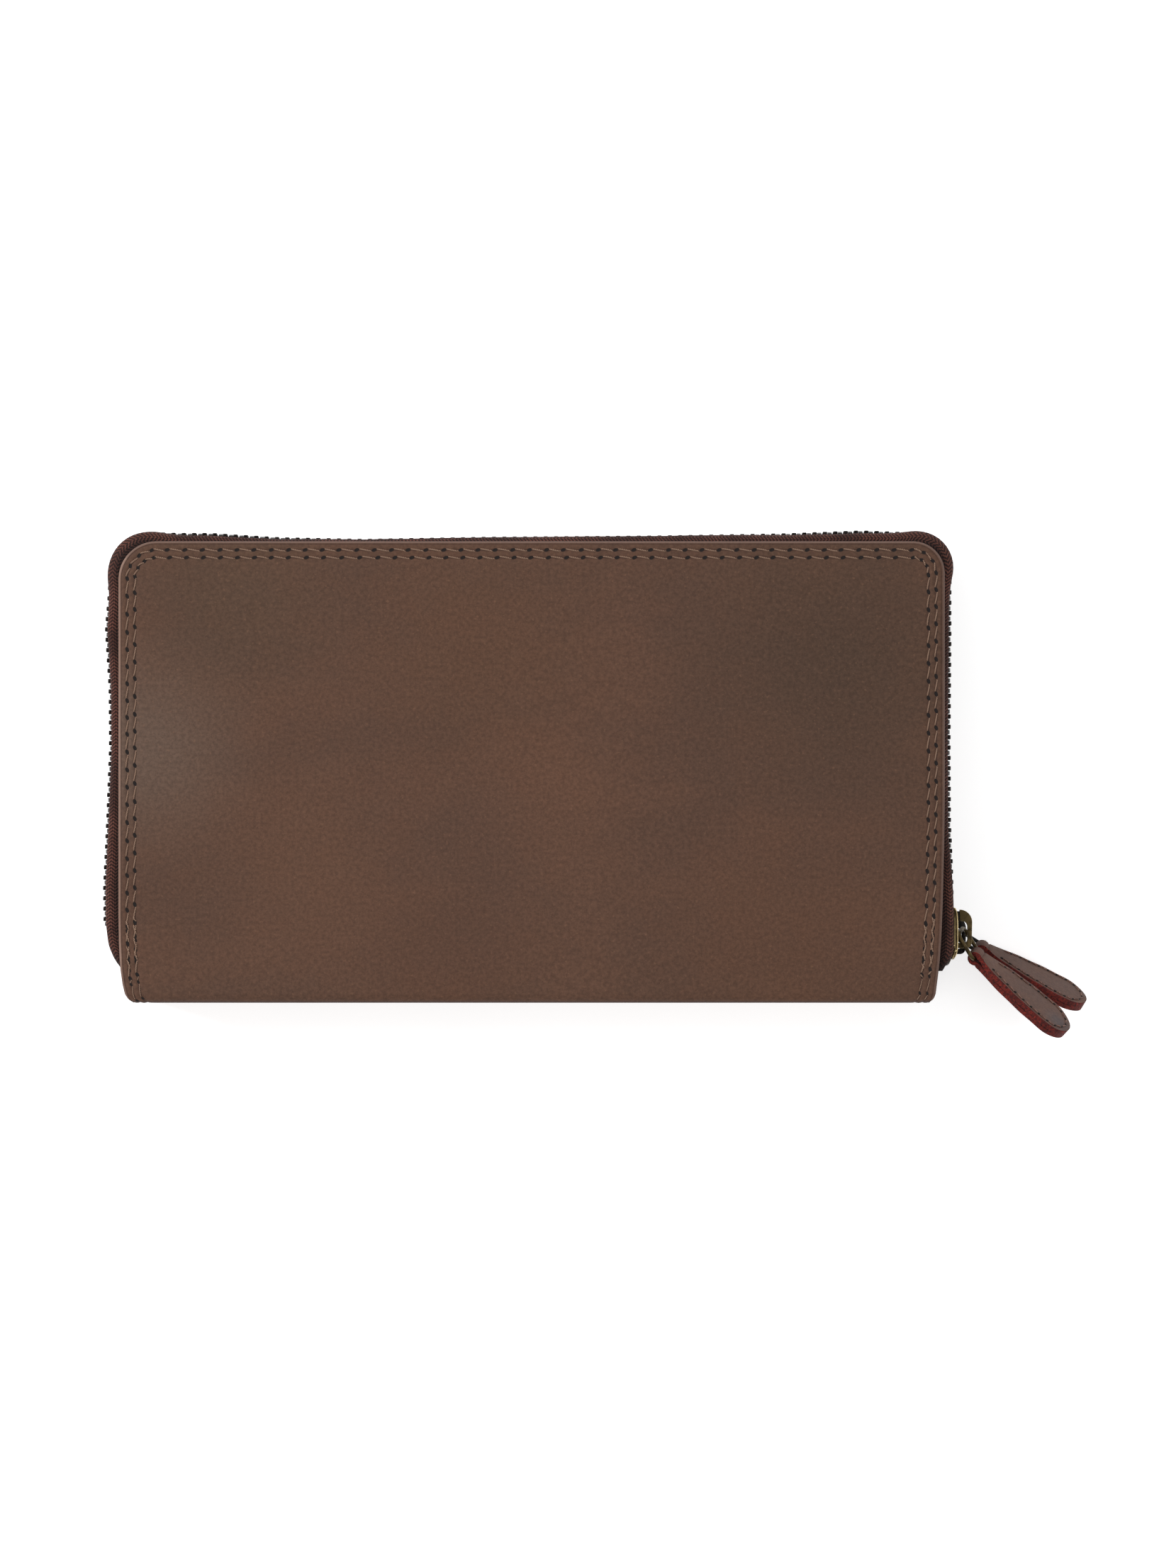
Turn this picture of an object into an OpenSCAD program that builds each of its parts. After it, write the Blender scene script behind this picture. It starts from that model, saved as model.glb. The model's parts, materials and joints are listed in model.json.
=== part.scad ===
// Long leather wallet with two zipped compartments, lying on its front cover.
// +X runs along the width towards the pull tabs, +Y from the spine to the zipped long edge, +Z up.
// The origin is the middle of the face that the wallet rests on.

/* [Covers] */
// Width of each leather cover
panel_w = 195; // [180:1:210]
// Height of each leather cover, from the spine to the zipped edge
panel_h = 109; // [100:1:120]
// Thickness of the closed wallet
wallet_t = 28; // [28:0.5:34]
// Radius of the cover's top corner away from the pull tabs
corner_r_left = 9; // [7:0.5:12]
// Radius of the cover's top corner near the pull tabs
corner_r_right = 7.5; // [6:0.5:10]
// Thickness of the outer leather
leather_t = 1.6; // [1.4:0.1:1.8]
// Thickness of the inner leather and lining sheets
lining_t = 0.6; // [0.4:0.1:0.7]
// How far each cover narrows at its bottom corners
bottom_taper = 2.6; // [1:0.2:4]

/* [Zips] */
// Distance from one tooth to the next on the same tape
tooth_pitch = 2.45; // [2.3:0.05:2.8]
// Thickness of a tooth along the chain
tooth_t = 1; // [0.8:0.05:1]
// Thickness of the zip chain across its faces
chain_t = 2; // [1.8:0.1:2]
// Thickness of the woven zip tape
tape_t = 0.5; // [0.4:0.05:0.5]
// How far the middle of the zip tape stands outside the cover's edge
tape_out = 1.4; // [1.2:0.1:1.6]
// Length of a slider along its chain
slider_len = 12.4; // [11:0.2:13]
// Width of a slider across its chain
slider_w = 8.2; // [7.6:0.2:8.2]

/* [Pulls] */
// Diameter of the ring's wire
ring_wire_d = 0.9; // [0.8:0.05:0.95]
// Length of the ring between the middles of its end wires
ring_len = 7.2; // [6.6:0.2:8]
// Width of the ring between the middles of its side wires
ring_w = 5.6; // [5.2:0.2:6.4]
// Length of the leather tab past the ring
tab_len = 28; // [25:1:30]
// Widest width of the leather tab
tab_w = 12; // [10:0.5:12]
// Thickness of one leather layer of the tab
tab_leather_t = 1.2; // [1:0.1:1.3]

/* [Inside] */
// Number of card pockets in each column
card_rows = 4; // [2:1:4]
// Length of the coin pocket's zip opening
coin_slot_len = 140; // [100:5:144]

/* [Hidden] */

brown = [0.36, 0.27, 0.22];
dark_brown = [0.22, 0.14, 0.12];
lining_brown = [0.30, 0.22, 0.17];
tape_brown = [0.20, 0.11, 0.10];
gunmetal = [0.25, 0.23, 0.21];
old_brass = [0.52, 0.44, 0.30];
red_edge = [0.48, 0.16, 0.12];
board_grey = [0.55, 0.52, 0.48];

gap = 0.1;
cut = 1;
half_w = panel_w / 2;
top_y = panel_h / 2;
spine_y = -panel_h / 2;
taper_h = 8.5;

// Heights of the layers. Each zip's chain lies on the plane that its cover opens about.
lower_chain_z = 7.5;
upper_chain_z = wallet_t - lower_chain_z;
middle_z = wallet_t / 2;
front_flange_z = leather_t + gap;
front_lining_z = front_flange_z + lining_t + gap;
front_face_z = front_lining_z + lining_t;
rear_lining_z = wallet_t - front_face_z;
divider_half = 2.6;
divider_front_z = middle_z - divider_half;
divider_rear_z = middle_z + divider_half - lining_t;
strip_half = 1.2;

// Zip chain. Its tapes stand at the wallet's side, outside the covers' edges.
zip_shift_x = -0.4;
zip_mid_x = half_w + tape_out + zip_shift_x;
tape_start = 1.6;
tooth_reach = 2.9;
tooth_overlap = 0.9;
tooth_fork = 1.5;
fork_slot = tape_t + 0.1;
flange_in = 9;
tape_low_y = -47;
chain_start_y = -36;
chain_split_y = -29.6;
end_gap = 0.2;
chain_end_y = -41.5;
upper_slider_y = -38;
lower_slider_y = -39;

// Slider: two plates joined by a post, with a bridge for the ring.
slider_half = 2.1;
slider_channel = 1.15;
slider_slot = 0.5;
slider_flange = 1.1;
bridge_w = 1.8;
window_len = 5.1;
window_h = 2.4;
bridge_bar = 1.1;
ring_seat = 0.3;

// Coin zip, flat in the divider's rear panel.
coin_y = 38;
coin_slot_w = 7;
coin_z = divider_rear_z - gap - 0.2;
coin_scale = 0.72;
coin_slider_x = 58;
coin_pull_len = 13;
coin_pull_w = 3.8;
coin_pull_t = 0.7;

// ---- outlines -------------------------------------------------------------------------------

// Cover outline grown by g, with rounded top corners, down to y_low.
module outline2d(g, y_low) {
    r_left = max(corner_r_left + g, cut);
    r_right = max(corner_r_right + g, cut);
    side = half_w + g;
    top = top_y + g;
    translate([-side + r_left, top - r_left])
        circle(r = r_left, $fn = 96);
    translate([side - r_right, top - r_right])
        circle(r = r_right, $fn = 96);
    translate([-side + r_left, y_low])
        square([2 * side - r_left - r_right, top - y_low]);
    translate([-side, y_low])
        square([side, top - r_left - y_low]);
    translate([0, y_low])
        square([side, top - r_right - y_low]);
}

// Cover outline with its tapered bottom corners.
module cover2d() {
    difference() {
        outline2d(0, spine_y);
        for (s = [-1, 1])
            polygon([
                [s * (half_w + cut), spine_y + taper_h],
                [s * half_w, spine_y + taper_h],
                [s * (half_w - bottom_taper), spine_y - cut],
                [s * (half_w + cut), spine_y - cut]
            ]);
    }
}

// Band between two grown outlines, open at the spine.
module band2d(g_out, g_in, y_low) {
    difference() {
        outline2d(g_out, y_low);
        outline2d(g_in, y_low - cut);
    }
}

// Everything right of the wallet's middle and below y_top.
module right_stretch2d(y_top) {
    translate([half_w - flange_in - 2 * cut, spine_y - cut])
        square([4 * flange_in, y_top - spine_y + cut]);
}

module sheet(z, t) {
    translate([0, 0, z])
        linear_extrude(height = t)
            children();
}

// ---- covers ---------------------------------------------------------------------------------

module spine_strip(z_low, z_high) {
    translate([-half_w + bottom_taper + gap, spine_y, z_low])
        cube([2 * (half_w - bottom_taper - gap), leather_t, z_high - z_low]);
}

module cover_board(z) {
    sheet(z, lining_t)
        outline2d(-flange_in - 1, spine_y + 3);
}

module cover_lining(z) {
    sheet(z, lining_t)
        outline2d(-1.2, spine_y + leather_t + gap);
}

// Two columns of stepped card pockets. Each strip lies over the one before it and ends lower.
module card_pockets(z_first, z_step) {
    pocket_w = 86;
    pocket_t = 0.4;
    for (row = [0:card_rows - 1])
        for (x = [-pocket_w - 2, 2])
            translate([x, spine_y + 4, z_first + row * z_step])
                cube([pocket_w, 90 - 12 * row, pocket_t]);
}

module front_leather() {
    color(brown) sheet(0, leather_t) cover2d();
}

module front_spine_turn() {
    color(brown) spine_strip(leather_t, lower_chain_z - gap);
}

module front_board() {
    color(board_grey) cover_board(front_flange_z);
}

module front_lining() {
    color(lining_brown) cover_lining(front_lining_z);
}

module front_card_pockets() {
    color(dark_brown) card_pockets(front_face_z + gap, 0.5);
}

module rear_leather() {
    color(brown) sheet(wallet_t - leather_t, leather_t) cover2d();
}

module rear_spine_turn() {
    color(brown) spine_strip(upper_chain_z + gap, wallet_t - leather_t);
}

module rear_board() {
    color(board_grey) cover_board(wallet_t - front_flange_z - lining_t);
}

module rear_lining() {
    color(lining_brown) cover_lining(rear_lining_z);
}

module rear_card_pockets() {
    color(dark_brown) card_pockets(rear_lining_z - gap - 0.4, -0.5);
}

// ---- divider --------------------------------------------------------------------------------

module spine_leather() {
    color(brown) spine_strip(lower_chain_z + gap, upper_chain_z - gap);
}

module spine_lining() {
    color(lining_brown)
        translate([-88, spine_y + leather_t + gap, lower_chain_z + 2 * gap])
            cube([176, 0.5, upper_chain_z - lower_chain_z - 4 * gap]);
}

module divider_sheet2d() {
    outline2d(-1.6, spine_y + 2.5);
}

module divider_front_panel() {
    color(lining_brown) sheet(divider_front_z, lining_t) divider_sheet2d();
}

module divider_rear_panel() {
    color(lining_brown)
        sheet(divider_rear_z, lining_t)
            difference() {
                divider_sheet2d();
                translate([-coin_slot_len / 2, coin_y - coin_slot_w / 2])
                    square([coin_slot_len, coin_slot_w]);
            }
}

module divider_edge_strip() {
    color(brown)
        sheet(middle_z - strip_half, 2 * strip_half)
            band2d(0.4, -flange_in, spine_y + 2.5);
}

module slip_pocket(z) {
    translate([-74, spine_y + 2.5, z])
        cube([148, 80, lining_t]);
}

module divider_front_pocket() {
    color(dark_brown) slip_pocket(divider_front_z - lining_t - 0.2);
}

module divider_rear_pocket() {
    color(dark_brown) slip_pocket(divider_rear_z + lining_t + 0.2);
}

// Gusset folded inwards between two sheets: a long narrow V of soft leather.
module gusset(side, z_low, z_high) {
    t = 0.4;
    leg = 90.5;
    crease = 78;
    mid = (z_low + z_high) / 2;
    rotate([90, 0, 0])
        translate([0, 0, 8])
            linear_extrude(height = 42)
                polygon([
                    [side * (leg + t), z_low + gap], [side * (leg + t), mid - gap],
                    [side * (crease + t), mid - gap], [side * (crease + t), mid + gap],
                    [side * (leg + t), mid + gap], [side * (leg + t), z_high - gap],
                    [side * leg, z_high - gap], [side * leg, mid + gap + t],
                    [side * crease, mid + gap + t], [side * crease, mid - gap - t],
                    [side * leg, mid - gap - t], [side * leg, z_low + gap]
                ]);
}

module lower_gusset_left() {
    color(dark_brown) gusset(-1, front_face_z, divider_front_z);
}

module lower_gusset_right() {
    color(dark_brown) gusset(1, front_face_z, divider_front_z);
}

module upper_gusset_left() {
    color(dark_brown) gusset(-1, middle_z + divider_half, rear_lining_z);
}

module upper_gusset_right() {
    color(dark_brown) gusset(1, middle_z + divider_half, rear_lining_z);
}

// ---- zip chains -----------------------------------------------------------------------------

// Upright band of a tape, from beside the chain out to its sewn edge.
module tape_band(z_low, z_high) {
    translate([zip_shift_x, 0, 0])
        sheet(z_low, z_high - z_low)
            band2d(tape_out + tape_t / 2, tape_out - tape_t / 2, tape_low_y);
}

// Flange of a tape, sewn between leather and lining.
module tape_flange(z) {
    translate([zip_shift_x, 0, 0])
        sheet(z, lining_t)
            band2d(tape_out + tape_t / 2, -flange_in, tape_low_y);
}

// One tape half: dir is 1 where the tape rises from its chain and -1 where it falls.
module tape(chain_z, dir, flange_z) {
    edge_z = dir > 0 ? flange_z + lining_t : flange_z;
    start_z = chain_z + dir * tape_start;
    tape_band(min(start_z, edge_z), max(start_z, edge_z));
    tape_flange(flange_z);
}

// The part of a moving tape half that leaves out its end stretch beside the slider.
module split_tape(chain_z, dir, flange_z) {
    difference() {
        tape(chain_z, dir, flange_z);
        sheet(chain_z - wallet_t / 2, wallet_t)
            right_stretch2d(chain_split_y);
    }
}

// The end stretch beside the slider, which stays with the slider's own side.
module tape_end(chain_z, length) {
    intersection() {
        tape_band(chain_z + tape_start, chain_z + tape_start + length);
        sheet(chain_z, wallet_t / 2)
            right_stretch2d(chain_split_y - end_gap);
    }
}

// Forked metal tooth that clamps the tape's edge, with a narrower head past the chain's middle.
module tooth(dir) {
    half = chain_t / 2;
    rotate([90, 0, 0])
        linear_extrude(height = tooth_t, center = true)
            polygon([
                [-half, dir * tooth_reach], [-half, dir * 0.2],
                [-0.7 * half, -dir * tooth_overlap], [0.7 * half, -dir * tooth_overlap],
                [half, dir * 0.2], [half, dir * tooth_reach],
                [fork_slot / 2, dir * tooth_reach], [fork_slot / 2, dir * tooth_fork],
                [-fork_slot / 2, dir * tooth_fork], [-fork_slot / 2, dir * tooth_reach]
            ]);
}

// Lengths of the chain's stretches: left side, left corner, top, right corner, right side.
left_run = top_y - corner_r_left - chain_start_y;
left_arc_r = corner_r_left + tape_out;
left_arc = PI / 2 * left_arc_r;
top_run = panel_w - corner_r_left - corner_r_right;
right_arc_r = corner_r_right + tape_out;
right_arc = PI / 2 * right_arc_r;
to_left_arc = left_run + left_arc;
to_top = to_left_arc + top_run;
to_right_arc = to_top + right_arc;

// Place and outward direction at a distance along the chain: [x, y, angle].
function chain_at(s) =
    s < left_run ? [-half_w - tape_out, chain_start_y + s, 180]
    : s < to_left_arc ? on_corner(-half_w + corner_r_left, top_y - corner_r_left, left_arc_r,
        180 - (s - left_run) / left_arc_r * 180 / PI)
    : s < to_top ? [-half_w + corner_r_left + s - to_left_arc, top_y + tape_out, 90]
    : s < to_right_arc ? on_corner(half_w - corner_r_right, top_y - corner_r_right, right_arc_r,
        90 - (s - to_top) / right_arc_r * 180 / PI)
    : [half_w + tape_out, top_y - corner_r_right - (s - to_right_arc), 0];

function on_corner(x, y, r, angle) = [x + r * cos(angle), y + r * sin(angle), angle];

chain_len = to_right_arc + top_y - corner_r_right - chain_split_y;
chain_len_full = to_right_arc + top_y - corner_r_right - chain_end_y;
teeth_moving = floor(chain_len / tooth_pitch);
teeth_full = floor(chain_len_full / tooth_pitch);

// Teeth number first to last of one row. The rows of a chain are half a pitch apart.
module teeth(chain_z, dir, first, last) {
    for (i = [first:last]) {
        p = chain_at((i + (dir > 0 ? 0.5 : 0)) * tooth_pitch);
        translate([p[0] + zip_shift_x, p[1], chain_z])
            rotate([0, 0, p[2]])
                tooth(dir);
    }
}

// Clips that stop the slider at its closed end, one on each tape.
module top_stops(chain_z, slider_y) {
    for (dir = [-1, 1])
        translate([zip_mid_x, slider_y - slider_len / 2 - 0.9, chain_z + dir * 2.1])
            difference() {
                cube([1.8, 1.2, 2.4], center = true);
                translate([0, 0, dir * 0.65])
                    cube([fork_slot, 2, 2.4], center = true);
            }
}

module lower_tape_front() {
    color(tape_brown) tape(lower_chain_z, -1, front_flange_z);
}

module lower_tape_divider() {
    color(tape_brown) split_tape(lower_chain_z, 1, divider_front_z + lining_t + gap);
}

module upper_tape_divider() {
    color(tape_brown) tape(upper_chain_z, -1, divider_rear_z - gap - lining_t);
}

module upper_tape_rear() {
    color(tape_brown) split_tape(upper_chain_z, 1, wallet_t - front_flange_z - lining_t);
}

module lower_tape_end() {
    color(tape_brown) tape_end(lower_chain_z, 3.3);
}

module upper_tape_end() {
    color(tape_brown) tape_end(upper_chain_z, 3.6);
}

module lower_teeth_front() {
    color(gunmetal) teeth(lower_chain_z, -1, 0, teeth_full);
}

module lower_teeth_divider() {
    color(gunmetal) teeth(lower_chain_z, 1, 0, teeth_moving - 1);
}

module lower_teeth_end() {
    color(gunmetal) teeth(lower_chain_z, 1, teeth_moving, teeth_full - 1);
}

module upper_teeth_divider() {
    color(gunmetal) teeth(upper_chain_z, -1, 0, teeth_full);
}

module upper_teeth_rear() {
    color(gunmetal) teeth(upper_chain_z, 1, 0, teeth_moving - 1);
}

module upper_teeth_end() {
    color(gunmetal) teeth(upper_chain_z, 1, teeth_moving, teeth_full - 1);
}

module lower_top_stops() {
    color(gunmetal) top_stops(lower_chain_z, lower_slider_y);
}

module upper_top_stops() {
    color(gunmetal) top_stops(upper_chain_z, upper_slider_y);
}

// ---- sliders --------------------------------------------------------------------------------

// Slider plate, wide at its mouth end (-X) and narrower behind.
module slider_plate2d() {
    mouth = slider_len / 2 - 4;
    intersection() {
        translate([-slider_len / 2, -slider_w / 2])
            square([slider_len, slider_w]);
        union() {
            translate([-mouth, 0])
                circle(r = slider_w / 2 + 0.4, $fn = 96);
            translate([-mouth, -slider_w / 2 + 0.6])
                square([slider_len, slider_w - 1.2]);
        }
    }
}

// Side view of the bridge, with the window that the ring passes through.
module bridge2d() {
    low = -window_len / 2 - 1.2;
    high = window_len / 2 + 2.8;
    foot = slider_half - 0.2;
    outer = slider_half + window_h + bridge_bar;
    r_low = 1.2;
    r_high = 3;
    difference() {
        intersection() {
            translate([low, foot])
                square([high - low, outer - foot]);
            union() {
                translate([low, foot - r_high])
                    square([high - low, outer - foot]);
                translate([low + r_low, outer - r_high])
                    square([high - low - r_low - r_high, r_high]);
                translate([low + r_low, outer - r_low])
                    circle(r = r_low, $fn = 48);
                translate([low, outer - r_high - cut])
                    square([2 * r_low, r_high - r_low + cut]);
                translate([high - r_high, outer - r_high])
                    circle(r = r_high, $fn = 96);
            }
        }
        translate([-window_len / 2, slider_half])
            square([window_len, window_h]);
    }
}

// Slider in its own frame: chain along X, across the tapes along Y, outwards along Z.
module slider() {
    for (s = [-1, 1]) {
        plate_z = s > 0 ? slider_channel : -slider_half;
        sheet(plate_z, slider_half - slider_channel)
            slider_plate2d();
        lip_z = s > 0 ? slider_slot : -slider_channel - gap;
        sheet(lip_z, slider_channel - slider_slot + gap)
            difference() {
                slider_plate2d();
                square([slider_len + cut, slider_w - 2 * slider_flange], center = true);
            }
    }
    translate([-slider_len / 2 + 1.2, 0, 0])
        cylinder(h = 2 * slider_channel + 2 * gap, r = 0.9, center = true, $fn = 48);
    translate([0, bridge_w / 2, 0])
        rotate([90, 0, 0])
            linear_extrude(height = bridge_w)
                bridge2d();
}

module place_slider(y, chain_z) {
    translate([zip_mid_x, y, chain_z])
        rotate([90, 0, 90])
            children();
}

module lower_slider() {
    color(old_brass) place_slider(lower_slider_y, lower_chain_z) slider();
}

module upper_slider() {
    color(old_brass) place_slider(upper_slider_y, upper_chain_z) slider();
}

module coin_slider() {
    color(old_brass)
        translate([coin_slider_x, coin_y, coin_z])
            rotate([0, 0, 180])
                scale(coin_scale)
                    slider();
}

// ---- rings and tabs -------------------------------------------------------------------------

ring_pivot_x = zip_mid_x + slider_half + window_h / 2;
// How each pull hangs: [direction, droop, lean, turn of the tab on its ring]
upper_hang = [-40, 0, 26, 20];
lower_hang = [-28, 2, 22, 4];

// Frame of a ring: X from the slider to the tab, Z along the ring's end wires.
module at_ring(hang, slider_y, chain_z) {
    translate([ring_pivot_x, slider_y + ring_seat, chain_z])
        rotate([0, 0, hang[0]])
            rotate([0, hang[1], 0])
                rotate([hang[2], 0, 0])
                    rotate([0, 0, -hang[3]])
                        children();
}

module at_tab(hang, slider_y, chain_z) {
    at_ring(hang, slider_y, chain_z)
        translate([ring_len, 0, 0])
            rotate([0, 0, hang[3]])
                children();
}

// Wire link with rounded corners.
module ring() {
    r = ring_wire_d / 2;
    bend = 1;
    straight_x = ring_len - 2 * bend;
    straight_z = ring_w - 2 * bend;
    for (s = [-1, 1]) {
        translate([bend, 0, s * ring_w / 2])
            rotate([0, 90, 0])
                cylinder(h = straight_x, r = r, $fn = 48);
        translate([s < 0 ? 0 : ring_len, 0, -straight_z / 2])
            cylinder(h = straight_z, r = r, $fn = 48);
        for (e = [0, 1])
            translate([e == 0 ? bend : ring_len - bend, 0, s * straight_z / 2])
                rotate([90, 0, 0])
                    rotate([0, 0, e == 0 ? (s > 0 ? 90 : 180) : (s > 0 ? 0 : 270)])
                        rotate_extrude(angle = 90, $fn = 96)
                            translate([bend, 0])
                                circle(r = r, $fn = 48);
    }
}

loop_r = ring_wire_d / 2 + 0.08;
tab_head = 3.6;

// Teardrop outline of one leather leaf, from the loop to the round tip.
module tab2d() {
    tip_r = tab_w / 2;
    tip_x = tab_len - tip_r;
    neck = tab_head / 2;
    lean = asin((tip_r - neck) / tip_x);
    translate([tip_x, 0])
        circle(r = tip_r, $fn = 96);
    polygon([
        [0, -neck], [0, neck],
        [tip_x - tip_r * sin(lean), tip_r * cos(lean)],
        [tip_x - tip_r * sin(lean), -tip_r * cos(lean)]
    ]);
}

// Folded leather strip: two leaves sewn together, with the ring's wire in the fold.
module tab() {
    leaf_gap = 0.05;
    difference() {
        union() {
            for (s = [-1, 1])
                translate([0, s * (tab_leather_t + leaf_gap) / 2, 0])
                    rotate([90, 0, 0])
                        linear_extrude(height = tab_leather_t, center = true)
                            tab2d();
            translate([3, 0, 0])
                cube([2, 4 * leaf_gap, tab_head - 1], center = true);
            cylinder(h = tab_head, r = loop_r + tab_leather_t, center = true, $fn = 96);
        }
        cylinder(h = tab_head + cut, r = loop_r, center = true, $fn = 96);
    }
}

module lower_ring() {
    color(old_brass) at_ring(lower_hang, lower_slider_y, lower_chain_z) ring();
}

module upper_ring() {
    color(old_brass) at_ring(upper_hang, upper_slider_y, upper_chain_z) ring();
}

module lower_tab() {
    color(red_edge) at_tab(lower_hang, lower_slider_y, lower_chain_z) tab();
}

module upper_tab() {
    color(red_edge) at_tab(upper_hang, upper_slider_y, upper_chain_z) tab();
}

// ---- coin zip -------------------------------------------------------------------------------

module coin_tape(dir) {
    edge = 1.2;
    translate([-coin_slot_len / 2 - 3, coin_y + (dir > 0 ? edge : -edge - 6), coin_z - 0.2])
        cube([coin_slot_len + 6, 6, 0.4]);
}

module coin_teeth(dir) {
    pitch = coin_scale * tooth_pitch;
    count = floor((coin_slot_len - 16) / pitch);
    for (i = [0:count - 1])
        translate([-coin_slot_len / 2 + 4 + (i + (dir > 0 ? 0.5 : 0)) * pitch, coin_y, coin_z])
            rotate([0, 90, 0])
                rotate([0, 0, 90])
                    linear_extrude(height = coin_scale * tooth_t, center = true)
                        polygon([
                            [dir * -0.6, 0.7], [dir * -0.6, -0.7],
                            [dir * 1.1, -0.7], [dir * 1.1, 0.7]
                        ]);
}

module coin_tape_top() {
    color(tape_brown) coin_tape(1);
}

module coin_tape_bottom() {
    color(tape_brown) coin_tape(-1);
}

module coin_teeth_top() {
    color(gunmetal) coin_teeth(1);
}

module coin_teeth_bottom() {
    color(gunmetal) coin_teeth(-1);
}

coin_window_z = coin_z + coin_scale * (slider_half + window_h / 2);

// Small metal pull lying flat, with an eye round the slider's bridge.
module coin_pull() {
    eye_w = coin_scale * bridge_w + 0.8;
    eye_len = 4.4;
    color(old_brass)
        translate([coin_slider_x, coin_y, coin_window_z - coin_pull_t / 2])
            linear_extrude(height = coin_pull_t)
                difference() {
                    union() {
                        translate([-coin_pull_len, -coin_pull_w / 2])
                            square([coin_pull_len + 0.4, coin_pull_w]);
                        translate([-coin_pull_len, 0])
                            circle(d = coin_pull_w, $fn = 48);
                    }
                    translate([-eye_len - 0.4, -eye_w / 2])
                        square([eye_len, eye_w]);
                }
}

front_leather();
front_spine_turn();
front_board();
front_lining();
front_card_pockets();
lower_tape_front();
lower_teeth_front();
lower_tape_end();
lower_teeth_end();
lower_top_stops();
lower_gusset_left();
lower_gusset_right();
spine_leather();
spine_lining();
divider_front_panel();
divider_rear_panel();
divider_edge_strip();
divider_front_pocket();
divider_rear_pocket();
coin_tape_top();
coin_tape_bottom();
coin_teeth_top();
coin_teeth_bottom();
lower_tape_divider();
lower_teeth_divider();
upper_tape_divider();
upper_teeth_divider();
upper_tape_end();
upper_teeth_end();
upper_top_stops();
upper_gusset_left();
upper_gusset_right();
rear_leather();
rear_spine_turn();
rear_board();
rear_lining();
rear_card_pockets();
upper_tape_rear();
upper_teeth_rear();
lower_slider();
lower_ring();
lower_tab();
upper_slider();
upper_ring();
upper_tab();
coin_slider();
coin_pull();
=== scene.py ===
"""Looks of a long zip-around leather wallet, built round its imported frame.

Lengths are millimetres in the frame's own axes, and piece() turns them into metres.
The wallet lies on its front cover, with the spine at -Y and the pull tabs at +X.
"""
import json
import math
import random

import bmesh
import bpy
import numpy as np
from mathutils import Matrix, Vector, noise


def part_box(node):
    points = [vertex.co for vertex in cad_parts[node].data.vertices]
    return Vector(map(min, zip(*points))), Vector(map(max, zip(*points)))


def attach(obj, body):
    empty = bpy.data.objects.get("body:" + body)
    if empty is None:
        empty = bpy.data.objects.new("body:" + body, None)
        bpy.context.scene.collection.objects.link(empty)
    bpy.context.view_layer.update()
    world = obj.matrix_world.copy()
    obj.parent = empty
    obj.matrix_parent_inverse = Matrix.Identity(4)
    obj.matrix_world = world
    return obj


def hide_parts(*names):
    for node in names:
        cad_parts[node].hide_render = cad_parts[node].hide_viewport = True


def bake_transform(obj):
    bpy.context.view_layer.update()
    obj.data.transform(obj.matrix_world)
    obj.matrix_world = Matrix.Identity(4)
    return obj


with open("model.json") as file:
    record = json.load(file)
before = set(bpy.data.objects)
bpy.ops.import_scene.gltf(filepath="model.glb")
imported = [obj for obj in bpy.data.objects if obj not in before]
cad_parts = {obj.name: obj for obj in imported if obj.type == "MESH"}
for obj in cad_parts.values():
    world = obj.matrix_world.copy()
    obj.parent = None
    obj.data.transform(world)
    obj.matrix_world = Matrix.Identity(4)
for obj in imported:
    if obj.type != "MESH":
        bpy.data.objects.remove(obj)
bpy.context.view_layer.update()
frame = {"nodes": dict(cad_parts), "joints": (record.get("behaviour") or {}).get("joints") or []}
MM = 0.001


def mm_box(node):
    """Lowest and highest corner of a CAD node, in millimetres."""
    low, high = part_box(node)
    return low / MM, high / MM


def mm_ranges(node):
    """A CAD node's box as its x, y and z ranges."""
    return tuple(zip(*mm_box(node)))


def joint_place(name):
    """A joint's pivot, in millimetres."""
    found = next(j for j in frame["joints"] if j["name"] == name)
    return Vector(found["pos_m"]) / MM


# ---- sizes, worked out from the frame -----------------------------------------------------------

COVER_LOW, COVER_HIGH = mm_box("rear_leather")
HALF_W = COVER_HIGH.x
TOP_Y = COVER_HIGH.y
SPINE_Y = COVER_LOW.y
WALLET_T = COVER_HIGH.z
LEATHER_T = COVER_HIGH.z - COVER_LOW.z
MIDDLE_Z = WALLET_T / 2
CORNER_LEFT = 9.0
CORNER_RIGHT = 7.5
LOWER_CHAIN_Z = joint_place("lower_compartment_open").z
UPPER_CHAIN_Z = joint_place("upper_compartment_open").z
SLIDER_X = sum(mm_box("upper_top_stops")[i].x for i in (0, 1)) / 2
UPPER_SLIDER_Y = -38.0
LOWER_SLIDER_Y = -39.0
TAPE_LOW_Y = mm_box("upper_tape_divider")[0].y
FOLD_R = 2.2
WORLD_AXES = ((1, 0, 0), (0, 1, 0), (0, 0, 1))
SIDE_AXES = ((1, 0, 0), (0, 0, 1), (0, 1, 0))
# How far each side of a cover comes in towards the spine, as (height, distance).
LEFT_TAPER = (
    (-55, 3.0), (-53.7, 2.1), (-52.3, 1.5), (-50, 0.95), (-46, 0.4), (-40, 0.1), (-34, 0),
)
RIGHT_TAPER = (
    (-55, 3.2), (-53.7, 2.5), (-52.3, 2.15), (-48.8, 1.7), (-44, 1.15),
    (-38, 0.75), (-30, 0.45), (-15, 0.1), (-5, 0),
)
STITCH_INSETS = (2.1, 3.9)
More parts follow.
